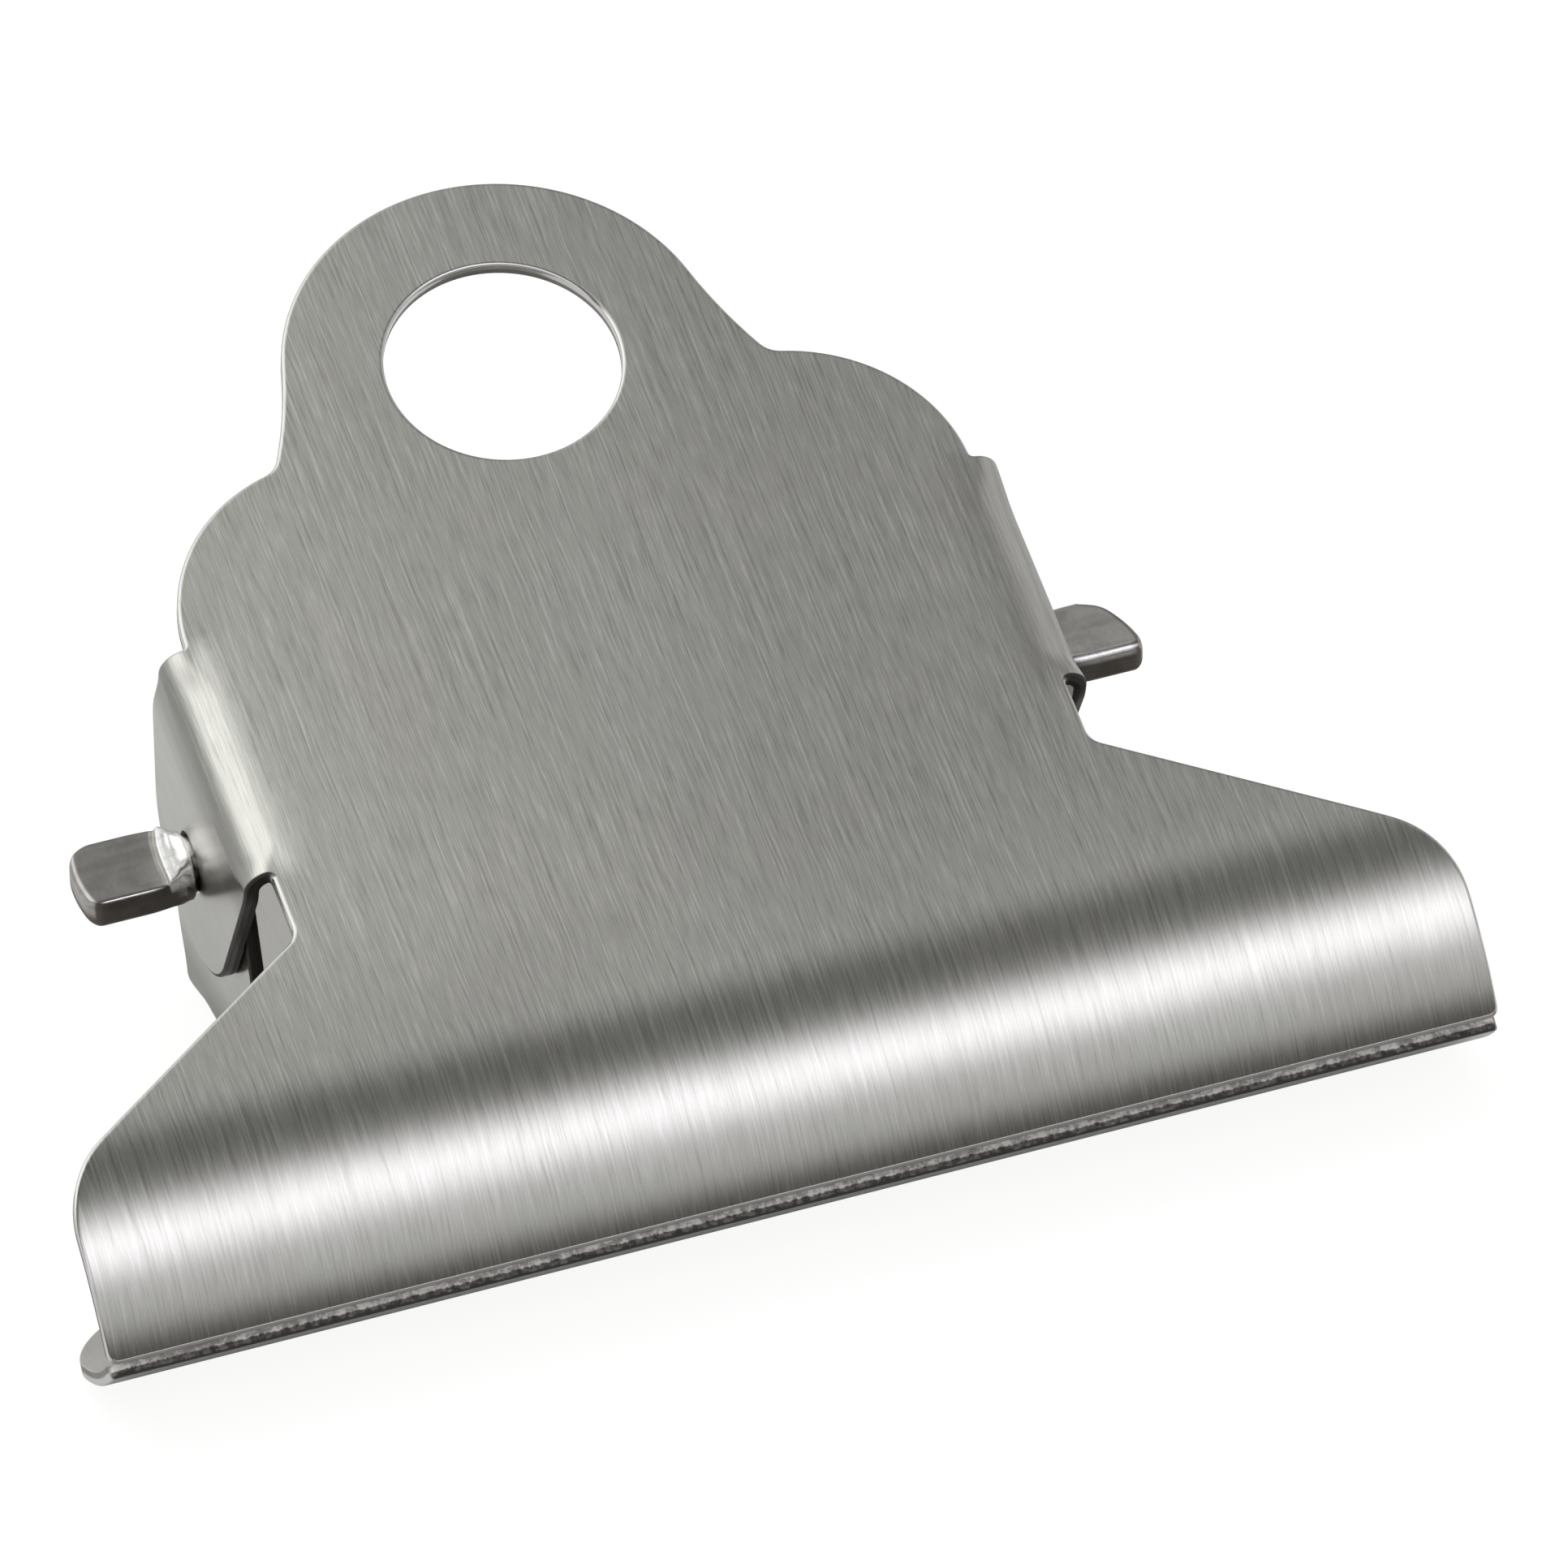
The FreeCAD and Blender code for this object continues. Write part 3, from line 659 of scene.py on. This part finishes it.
def make_pin():
    """A round wire whose ends are squeezed flat outside the ears."""
    stations = [*np.arange(0, 22.1, 1.0), *np.arange(22.6, 23.3, 0.2)]
    stations += [*np.arange(23.35, 25.35, 0.045), *np.arange(25.5, 28.0, 0.25)]
    stations += [TAB_END - 1.5 * (1 - math.sin(a)) for a in np.linspace(0.02, math.pi / 2, 22)]
    cosine, sine = math.cos(PIN_TURN), math.sin(PIN_TURN)
    placed, sides, necks = {}, {}, {}
    # The two tabs were squeezed one by one: the right one has a softer edge and a slanting end.
    for side, edge_radius, end_slant, tip_radius in ((1, 0.55, 0.40, 6.0), (-1, 0.14, 0.0, 7.0)):
        placed[side], sides[side], necks[side] = [], [], []
        rings = [(x, pin_ring(x, edge_radius)) for x in stations]
        last_x, last = rings[-1]
        middle = last.mean(0)
        rings += [(last_x, middle + (last - middle) * size) for size in (0.9, 0.7, 0.45, 0.2)]
        for x, outline in rings:
            across, up = outline[:, 0].copy(), outline[:, 1].copy()
            # Slanted facets are left on the neck, the step is curved, and the tip is a wide arc.
            around = np.arctan2(up, across)
            neck = math.exp(-((x - 24.1) / 0.42) ** 2)
            facets = np.abs(np.sin(4.5 * around + 1.3 * x + side)) + 0.4 * np.abs(np.sin(9 * around - 5.0 * x))
            scale = 1 - 0.036 * neck * facets
            to_tip = fade((x - 26.4) / 2.6)
            bow = (tip_radius - np.sqrt(tip_radius ** 2 - across ** 2)) * to_tip
            bow = bow + end_slant * (across + TAB_HALF) * to_tip
            by_step = math.exp(-((x - STEP_PLACE - 0.01) / 0.8) ** 2)
            curved = 0.0030 * np.clip(across + 2.0, 0, 5) ** 3.6 * by_step
            slant = (0.15 * by_step - curved) * np.clip(up, 0, 1)
            across, up = across * scale, up * scale
            placed[side].append(np.stack([
                side * (x - bow + slant) + HINGE.x,
                across * cosine - up * sine + HINGE.y,
                across * sine + up * cosine + HINGE.z,
            ], 1))
            # The front and the underside get painted shade, and the neck's upper side a painted highlight.
            width_here = PIN_RADIUS + 0.7 * fade((x - 23.2) / 0.9)
            front = fade((-outline[:, 0] - 0.90 * width_here) / 0.1)
            beneath = fade((0.1 - outline[:, 1]) / 0.5)
            # The tab's upper front edge gets a painted highlight.
            edge = fade((-outline[:, 0] - TAB_HALF + edge_radius) / (0.6 * edge_radius))
            edge = edge * fade((outline[:, 1] - TAB_THICK + edge_radius) / (0.6 * edge_radius))
            edge = edge * fade((x - 25.0) / 0.5) * fade((29.2 - x) / 0.5)
            sides[side].append(np.maximum(front, beneath) * fade((x - 22.2) / 0.5) * (1 - edge))
            neck = fade((outline[:, 1] - 0.3) / 0.4) * fade((x - 23.2) / 0.2) * fade((24.9 - x) / 0.1)
            necks[side].append(np.maximum(neck, edge))
    rings = placed[-1][::-1] + placed[1][1:]
    obj = skin("pivot_pin_wire", rings)
    # The right tab's upper side is shaded as if it leaned a little to the left.
    mesh = obj.data
    place = np.zeros(len(mesh.vertices) * 3)
    mesh.vertices.foreach_get("co", place)
    place = place.reshape(-1, 3) / MM - np.array(HINGE)
    look = np.array([v.vector[:] for v in mesh.vertex_normals])
    upward = fade((look @ np.array([0.0, -sine, cosine]) - 0.7) / 0.25)
    look[:, 0] -= 0.085 * upward * fade((place[:, 0] - 24.8) / 0.5)
    mesh.normals_split_custom_set_from_vertices(unit(look).tolist())
    for name, values in (("front_underside_shade", sides), ("painted_highlight", necks)):
        both = np.concatenate(values[-1][::-1] + values[1][1:] + [np.zeros(2)])
        mark = obj.data.attributes.new(name, "FLOAT", "POINT")
        mark.data.foreach_set("value", both.astype(np.float32))
    return obj


# The spring, as in the CAD model: radii of the wire and of the coil along the wire's middle, rise in a turn, the
# handle's places where a leg bends and ends, the bend's radius and the gap between a leg and its handle.
WIRE = 0.95
COIL = 3.6
PITCH = 1.98
FULL_TURNS = 7
KNEE_PLACE = 33.3
TOE_END = 37.4
KNEE_RADIUS = 3.0
LEG_GAP = 0.05


def leg_line(pin):
    """A leg's angle to its handle, its straight run from the coil to its knee, and its toe's length. pin is the
    pin's place in the frame of the leg's plate."""
    drop = pin.z - GAUGE - WIRE - LEG_GAP
    reach = KNEE_PLACE - pin.y
    away = math.hypot(drop, reach)
    angle = math.atan2(drop, reach) - math.asin(COIL / away)
    run = math.sqrt(away ** 2 - COIL ** 2)
    trim = KNEE_RADIUS * math.tan(angle / 2)
    toe = TOE_END - KNEE_PLACE - trim
    return angle, run - trim, toe


def make_spring():
    """The coil about the pin and its two legs, as one swept wire."""
    pins = {node: PLACE[node].inverted() @ Vector(HINGE) for node in PLACE}
    lower_angle, lower_run, lower_toe = leg_line(pins["lower_plate"])
    upper_angle, upper_run, upper_toe = leg_line(pins["upper_plate"])
    opening = lower_angle + upper_angle + 2 * HALF_VEE
    total = FULL_TURNS * 2 * math.pi + math.pi - opening
    length = total / (2 * math.pi) * PITCH

    def ahead_of(angle):
        return np.array([math.cos(angle), math.sin(angle)])

    def left_of(angle):
        return np.array([-math.sin(angle), math.cos(angle)])

    def leg(heading, bend, run, toe, foot):
        """Points of one leg in the coil's plane, from its foot on the coil to its toe."""
        points = [np.array(foot) + ahead_of(heading) * run * t for t in np.linspace(0, 1, 26)]
        side = 1 if bend > 0 else -1
        centre = points[-1] + side * KNEE_RADIUS * left_of(heading)
        for t in np.linspace(0, 1, 11)[1:]:
            points.append(centre - side * KNEE_RADIUS * left_of(heading + bend * t))
        knee = points[-1]
        points += [knee + ahead_of(heading + bend) * toe * t for t in np.linspace(0, 1, 9)[1:]]
        return points

    lower = leg(0.0, lower_angle, lower_run, lower_toe, (0.0, -COIL))
    upper = leg(opening, -upper_angle, upper_run, upper_toe,
                (-COIL * math.sin(opening), COIL * math.cos(opening)))
    path = [(-length / 2, p[0], p[1]) for p in lower[::-1]]
    for a in np.linspace(0, total, FULL_TURNS * 44)[1:-1]:
        path.append((-length / 2 + length * a / total, -COIL * math.sin(a), -COIL * math.cos(a)))
    path += [(length / 2, p[0], p[1]) for p in upper]
    path = np.array(path)

    # Each ring stands square to the wire, with the coil's axis for its first direction.
    along = unit(np.gradient(path, axis=0))
    axis = np.array([1.0, 0.0, 0.0])
    first = unit(axis - along * (along @ axis)[:, None])
    second = np.cross(along, first)
    angle = np.linspace(0, 2 * np.pi, 22, endpoint=False)
    rings = []
    for p, f, g in zip(path, first, second):
        rings.append(p + WIRE * (np.cos(angle)[:, None] * f + np.sin(angle)[:, None] * g))
    # Cropped wire ends, slightly rounded.
    for end, way in ((0, -1), (-1, 1)):
        tip = []
        for size, ahead in ((1.0, -0.10), (0.97, -0.04), (0.90, 0.0)):
            tip.append(path[end] + along[end] * way * ahead + (rings[end] - path[end]) * size)
        rings = tip[::-1] + rings[1:] if end == 0 else rings[:-1] + tip
    turn = Matrix.Rotation(-lower_angle, 3, "X")
    rings = np.array(rings) @ np.array(turn).T + np.array(HINGE)
    return skin("torsion_spring_wire", rings), length


# ------------------------------------------------------------------ materials

class Nodes:
    """A few short ways to build a node tree."""

    def __init__(self, owner):
        owner.use_nodes = True
        self.tree = owner.node_tree
        self.tree.nodes.clear()

    def add(self, kind, values=None, **settings):
        node = self.tree.nodes.new(kind)
        for key, value in settings.items():
            setattr(node, key, value)
        for key, value in (values or {}).items():
            if isinstance(value, bpy.types.NodeSocket):
                self.tree.links.new(value, node.inputs[key])
            else:
                node.inputs[key].default_value = value
        return node

    def math(self, operation, a, b=0.0, c=0.0, clamp=False):
        node = self.add("ShaderNodeMath", {0: a, 1: b, 2: c}, operation=operation, use_clamp=clamp)
        return node.outputs[0]

    def band(self, value, low, high, to_low=0.0, to_high=1.0):
        """Value's smooth step from low to high, carried to the range to_low to to_high."""
        node = self.add("ShaderNodeMapRange", {
            "Value": value, "From Min": low, "From Max": high, "To Min": to_low, "To Max": to_high,
        }, interpolation_type="SMOOTHSTEP")
        return node.outputs["Result"]

    def mix(self, share, a, b, blend="MIX"):
        node = self.add("ShaderNodeMix", data_type="RGBA", blend_type=blend)
        for key, value in ((0, share), (6, a), (7, b)):
            if isinstance(value, bpy.types.NodeSocket):
                self.tree.links.new(value, node.inputs[key])
            else:
                node.inputs[key].default_value = value
        return node.outputs[2]

    def noise(self, vector, scale, detail=2.0, roughness=0.5, x=1.0, y=1.0, z=1.0):
        stretched = self.add("ShaderNodeMapping", {"Vector": vector, "Scale": (x, y, z)}).outputs[0]
        node = self.add("ShaderNodeTexNoise", {
            "Vector": stretched, "Scale": scale, "Detail": detail, "Roughness": roughness,
        })
        return node.outputs["Fac"]

    def ramp(self, value, stops):
        node = self.add("ShaderNodeValToRGB", {"Fac": value})
        bar = node.color_ramp.elements
        while len(bar) < len(stops):
            bar.new(0.5)
        for mark, (place, colour) in zip(bar, stops):
            mark.position = place
            mark.color = (*colour, 1.0)
        return node.outputs["Color"]


def mark_on(nodes, name):
    """The value that a mesh carries under that name."""
    return nodes.add("ShaderNodeAttribute", attribute_name=name).outputs["Fac"]


def rgba(red, green, blue):
    return (red, green, blue, 1.0)


def sheet_material():
    """Brushed stainless sheet: fine grooves along the handle, a bright drawn rim and a torn lower cut edge."""
    mat = bpy.data.materials.new("plate_brushed_steel")
    n = Nodes(mat)
    blank = n.add("ShaderNodeUVMap", uv_map="blank").outputs["UV"]
    rim = mark_on(n, "rim")
    cut = mark_on(n, "cut")
    front_edge_shade = mark_on(n, "front_edge_shade")
    lip = mark_on(n, "lip")
    under = mark_on(n, "under")
    bend_painted_shade = mark_on(n, "bend_painted_shade")
    # The grooves wander a little.
    wander = n.math("MULTIPLY_ADD", n.noise(blank, 14.0, 2.0, 0.5), 0.003, -0.0015)
    sideways = n.add("ShaderNodeCombineXYZ", {"X": wander}).outputs["Vector"]
    grooves = n.add("ShaderNodeVectorMath", {0: blank, 1: sideways}).outputs["Vector"]
    fine = n.noise(grooves, 1.0, 2.0, 0.6, x=600, y=50)
    broad = n.noise(grooves, 1.0, 3.0, 0.65, x=230, y=18)
    long = n.noise(grooves, 1.0, 1.0, 0.5, x=900, y=7)
    cloud = n.noise(blank, 9.0, 3.0, 0.55)
    streak = n.math("ADD", n.math("MULTIPLY", fine, 0.38), n.math("MULTIPLY", broad, 0.18))
    streak = n.math("ADD", streak, n.math("MULTIPLY", long, 0.44))
    tone = n.ramp(streak, [
        (0.34, (0.450, 0.450, 0.420)),
        (0.45, (0.560, 0.562, 0.526)),
        (0.55, (0.620, 0.621, 0.584)),
        (0.70, (0.770, 0.760, 0.725)),
    ])
    tone = n.mix(n.band(cloud, 0.35, 0.75, 0.0, 0.14), tone, rgba(0.54, 0.49, 0.46))
    # Painted shade at the ears' bends, on the outer face.
    tone = n.mix(n.math("MULTIPLY", bend_painted_shade, 0.50), tone, rgba(0.06, 0.06, 0.055))
    # The lower part of the cut edge is torn and duller than the drawn rim above it.
    torn = n.math("MULTIPLY", n.band(rim, 0.75, 1.0), n.band(cut, 0.45, 0.62))
    bright = n.math("MULTIPLY", n.band(rim, 0.25, 0.7), n.math("SUBTRACT", 1.0, torn))
    tone = n.mix(bright, tone, rgba(0.74, 0.735, 0.72))
    tone = n.mix(torn, tone, rgba(0.30, 0.285, 0.265))
    # Painted shade on cut edges that face the front.
    tone = n.mix(front_edge_shade, tone, rgba(0.060, 0.053, 0.048))
    # The lips: a drawn rim, a middle painted dark as shade, and a torn part painted pale as glints, both
    # mottled, with ragged borders.
    here = n.add("ShaderNodeTexCoord").outputs["Object"]
    nicks = n.noise(here, 2300.0, 3.0, 0.65)
    ragged = n.math("ADD", cut, n.math("MULTIPLY_ADD", nicks, 0.4, -0.2))
    spots = n.band(nicks, 0.38, 0.62)
    pale = n.mix(spots, rgba(0.60, 0.58, 0.56), rgba(0.98, 0.965, 0.94))
    middle = n.mix(spots, rgba(0.085, 0.080, 0.074), rgba(0.22, 0.21, 0.20))
    # On the lower plate the lip's drawn rim is painted shade.
    drawn = n.mix(under, rgba(0.34, 0.33, 0.32), rgba(0.060, 0.057, 0.053))
    lip_tone = n.mix(n.band(ragged, 0.12, 0.24), drawn, middle)
    broken = n.band(ragged, 0.42, 0.52)
    lip_tone = n.mix(broken, lip_tone, pale)
    tone = n.mix(lip, tone, lip_tone)
    rough = n.math("MULTIPLY_ADD", streak, 0.22, 0.13)
    rough = n.math("MULTIPLY_ADD", torn, 0.22, rough)
    rough = n.math("MULTIPLY_ADD", bright, -0.10, rough)
    rough = n.math("MULTIPLY_ADD", n.math("ADD", front_edge_shade, lip), 0.22, rough)
    rough = n.math("MULTIPLY_ADD", n.math("MULTIPLY", lip, broken), 0.30, rough)
    # The inner face is duller and paler.
    inner = n.math("MULTIPLY", n.band(cut, 0.85, 1.0), n.math("SUBTRACT", 1.0, rim))
    rough = n.math("MULTIPLY_ADD", inner, 0.26, rough)
    tone = n.mix(n.math("MULTIPLY", inner, 0.6), tone, rgba(0.76, 0.75, 0.73))
    grit = n.noise(blank, 900.0, 2.0, 0.6)
    worn = n.math("ADD", n.math("ADD", torn, front_edge_shade), lip, clamp=True)
    brushed = n.math("MULTIPLY", streak, n.math("SUBTRACT", 1.0, n.math("MULTIPLY", rim, 0.9)))
    height = n.math("MULTIPLY_ADD", grit, n.math("MULTIPLY", worn, 6.0), brushed)
    bump = n.add("ShaderNodeBump", {"Strength": 0.42, "Distance": 0.00002, "Height": height})
    tangent = n.add("ShaderNodeTangent", direction_type="UV_MAP", uv_map="blank").outputs["Tangent"]
    shader = n.add("ShaderNodeBsdfPrincipled", {
        "Base Color": tone, "Metallic": 1.0, "Roughness": rough, "Anisotropic": 0.8,
        "Tangent": tangent, "Normal": bump.outputs["Normal"],
    })
    out = n.add("ShaderNodeOutputMaterial")
    n.tree.links.new(shader.outputs["BSDF"], out.inputs["Surface"])
    return mat


def wire_material(name, dark, light, rough_low, rough_high, drawn):
    """Bright plated wire with faint drawing lines along it and a little tarnish."""
    mat = bpy.data.materials.new(name)
    n = Nodes(mat)
    skin_uv = n.add("ShaderNodeUVMap", uv_map="blank").outputs["UV"]
    here = n.add("ShaderNodeTexCoord").outputs["Object"]
    lines = n.noise(skin_uv, 1.0, 2.0, 0.6, x=drawn, y=9)
    blotch = n.noise(here, 520.0, 4.0, 0.6)
    pits = n.noise(here, 2600.0, 2.0, 0.5)
    lightest = tuple(min(1.0, v * 1.08) for v in light)
    tarnish = rgba(*[v * 0.72 for v in dark])
    tone = n.ramp(lines, [(0.30, dark), (0.52, light), (0.75, lightest)])
    tone = n.mix(n.band(blotch, 0.48, 0.72, 0.0, 0.55), tone, tarnish)
    # Painted shade, dark brown, on a tab's front and underside, and a painted highlight on its neck's upper side
    # and its upper front edge.
    front_underside_shade = mark_on(n, "front_underside_shade")
    brown_part = n.math("MULTIPLY", front_underside_shade, n.band(blotch, 0.2, 0.8, 0.95, 0.75))
    tone = n.mix(brown_part, tone, rgba(0.060, 0.048, 0.038))
    bright_part = n.math("MULTIPLY", mark_on(n, "painted_highlight"), n.band(pits, 0.35, 0.55, 0.75, 1.0))
    tone = n.mix(bright_part, tone, rgba(0.80, 0.795, 0.785))
    rough = n.band(blotch, 0.3, 0.7, rough_low, rough_high)
    rough = n.math("MULTIPLY_ADD", front_underside_shade, 0.2, rough)
    height = n.math("MULTIPLY_ADD", pits, 0.5, n.math("ADD", lines, n.math("MULTIPLY", blotch, 1.5)))
    bump = n.add("ShaderNodeBump", {"Strength": 0.35, "Distance": 0.00003, "Height": height})
    shader = n.add("ShaderNodeBsdfPrincipled", {
        "Base Color": tone, "Metallic": 1.0, "Roughness": rough, "Normal": bump.outputs["Normal"],
    })
    out = n.add("ShaderNodeOutputMaterial")
    n.tree.links.new(shader.outputs["BSDF"], out.inputs["Surface"])
    return mat


# ------------------------------------------------------------------ the pieces

plate_steel = sheet_material()
pin_steel = wire_material("pin_plated_steel", (0.31, 0.295, 0.28), (0.44, 0.425, 0.405), 0.16, 0.30, 26)
spring_steel = wire_material("spring_bright_wire", (0.46, 0.46, 0.46), (0.60, 0.60, 0.61), 0.18, 0.30, 40)

lower = make_plate("lower_plate", 1.3)
upper = make_plate("upper_plate", 0.4)
pin_wire = make_pin()
spring_wire, coil_length = make_spring()
for obj, node, slot, material in (
    (lower, "lower_plate", "plate_steel", plate_steel),
    (upper, "upper_plate", "plate_steel", plate_steel),
    (pin_wire, "pivot_pin", "pin_steel", pin_steel),
    (spring_wire, "torsion_spring", "spring_steel", spring_steel),
):
    obj.data.materials.append(material)
    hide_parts(node)
    frame["nodes"][node].data.materials.clear()
    frame["nodes"][node].data.materials.append(material)
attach(lower, "lower_half")
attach(upper, "upper_half")
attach(pin_wire, "pin")
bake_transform(spring_wire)


# ------------------------------------------------------------------ studio

def make_floor():
    mesh = bpy.data.meshes.new("floor")
    half = 4.0
    z = -0.00003
    corners = [(-half, -half, z), (half, -half, z), (half, half, z), (-half, half, z)]
    mesh.from_pydata(corners, [], [(0, 1, 2, 3)])
    obj = bpy.data.objects.new("floor", mesh)
    bpy.context.scene.collection.objects.link(obj)
    mat = bpy.data.materials.new("floor_paint")
    n = Nodes(mat)
    here = n.add("ShaderNodeTexCoord").outputs["Object"]
    tone = n.ramp(n.noise(here, 3.0, 2.0), [(0.3, (0.08, 0.08, 0.08)), (0.7, (0.09, 0.09, 0.09))])
    # A light table: it glows, so that the clip's shadow on it is faint. The steel mirrors it as plain paint.
    seen = n.add("ShaderNodeLightPath").outputs["Is Camera Ray"]
    paint = n.mix(seen, rgba(0.52, 0.52, 0.515), tone)
    glow = n.math("MULTIPLY_ADD", seen, 0.88, 0.04)
    shader = n.add("ShaderNodeBsdfPrincipled", {
        "Base Color": paint, "Roughness": 0.9, "Specular IOR Level": 0.1,
        "Emission Color": (1.0, 1.0, 0.995, 1.0), "Emission Strength": glow,
    })
    out = n.add("ShaderNodeOutputMaterial")
    n.tree.links.new(shader.outputs["BSDF"], out.inputs["Surface"])
    mesh.materials.append(mat)
    return obj


# How bright the studio is at an angle from straight up, in degrees: the front is positive, the back negative.
SKY = (
    (-180, 0.5), (-90, 0.45), (-60, 0.40), (-30, 0.36), (-18, 0.38), (-10, 0.39), (-2, 0.25), (4, 0.175),
    (12, 0.165), (17, 0.215), (22, 0.36), (26, 0.72), (30, 1.18), (34, 1.68), (38, 1.92), (42, 1.83),
    (46, 1.52), (50, 1.13), (54, 0.80), (60, 0.68), (66, 0.60), (70, 0.49), (74, 0.28), (78, 0.11),
    (84, 0.06), (90, 0.05), (110, 0.3), (180, 0.5),
)


def turn_at(angle):
    """An angle of SKY as a share of the whole turn."""
    return 0.5 + angle / 360


def make_studio():
    """Soft studio light all round: a long soft strip in front, a broad soft box at the left, open sides."""
    world = bpy.data.worlds.new("studio")
    bpy.context.scene.world = world
    n = Nodes(world)
    way = n.add("ShaderNodeTexCoord").outputs["Generated"]
    axes = n.add("ShaderNodeSeparateXYZ", {0: way})
    x, y, z = axes.outputs
    angle = n.math("ARCTAN2", n.math("MULTIPLY", y, -1.0), z)
    turn = n.math("MULTIPLY_ADD", angle, 0.5 / math.pi, 0.5)
    # A ramp holds up to 32 stops, and these angles fit.
    # A ramp's colours stay under 1, so it holds half the brightness. Bright parts are a little pink, and the
    # dark one near the front's horizon is brown.
    stops = []
    for degrees, glow in SKY:
        pink = min(1.0, max(0.0, (glow - 0.35) / 0.8))
        brown = 1.0 if 72 < degrees < 100 else 0.0
        green = 1.0 - 0.017 * pink - 0.05 * brown
        blue = 1.0 + 0.045 * pink - 0.08 * brown
        stops.append((turn_at(degrees), (glow / 2, glow / 2 * green, glow / 2 * blue)))
    sky = n.ramp(turn, stops)
    sky = n.mix(1.0, sky, rgba(2.0, 2.0, 2.0), "MULTIPLY")
    # The front strip is only so long, and fades towards its left end.
    strip = n.math("MULTIPLY", n.band(turn, turn_at(20), turn_at(28)), n.band(turn, turn_at(62), turn_at(52)))
    strip = n.math("MULTIPLY", strip, n.band(x, 0.10, -0.20))
    sky = n.mix(strip, sky, rgba(0.62, 0.62, 0.62), "MULTIPLY")
    # The soft box at the left, near the top, and the dimmer room at the right.
    top = n.band(turn, turn_at(6), turn_at(-8))
    sky = n.mix(n.math("MULTIPLY", top, n.band(x, 0.10, 0.42)), sky, rgba(0.26, 0.26, 0.26))
    sky = n.mix(n.math("MULTIPLY", top, n.band(x, 0.24, 0.02)), sky, rgba(0.66, 0.66, 0.65))
    box = n.math("MULTIPLY", n.band(x, 0.0, -0.20), n.band(turn, turn_at(4), turn_at(-9)))
    box = n.math("MULTIPLY", box, n.band(z, 0.36, 0.62))
    sky = n.mix(box, sky, rgba(1.5, 1.5, 1.49))
    right = n.math("MULTIPLY", n.band(x, 0.5, 0.8), n.band(z, 0.0, 0.2))
    sky = n.mix(right, sky, rgba(0.58, 0.57, 0.57))
    back = n.add("ShaderNodeBackground", {"Color": sky, "Strength": 1.0})
    plain = n.add("ShaderNodeBackground", {"Color": rgba(1.0, 1.0, 1.0), "Strength": 1.0})
    path = n.add("ShaderNodeLightPath").outputs["Is Camera Ray"]
    both = n.add("ShaderNodeMixShader", {0: path, 1: back.outputs[0], 2: plain.outputs[0]})
    out = n.add("ShaderNodeOutputWorld")
    n.tree.links.new(both.outputs[0], out.inputs["Surface"])
    world.cycles.sampling_method = "MANUAL"
    world.cycles.sample_map_resolution = 1024


def make_floor_light():
    """A wide soft light above that lifts the floor. The steel mirrors the studio and not this light."""
    data = bpy.data.lights.new("floor_light", "AREA")
    data.shape = "DISK"
    data.size = 3.6
    data.energy = 30.0
    obj = bpy.data.objects.new("floor_light", data)
    obj.location = (0.0, 0.0, 1.3)
    obj.visible_glossy = False
    obj.visible_camera = False
    bpy.context.scene.collection.objects.link(obj)


def make_camera():
    """A long lens from far off, in front, above and to the left, tilted sideways."""
    data = bpy.data.cameras.new("camera")
    obj = bpy.data.objects.new("camera", data)
    bpy.context.scene.collection.objects.link(obj)
    obj.location = (-0.261346, -0.972427, 0.694866)
    obj.rotation_euler = [math.radians(angle) for angle in (55.6973, 4.184, -18.405)]
    data.sensor_width = 36.0
    data.lens = 530.2
    data.clip_start = 0.05
    data.clip_end = 50.0
    data.dof.use_dof = False
    bpy.context.scene.camera = obj


make_floor()
make_studio()
make_floor_light()
make_camera()
bpy.context.scene.view_settings.view_transform = "Standard"
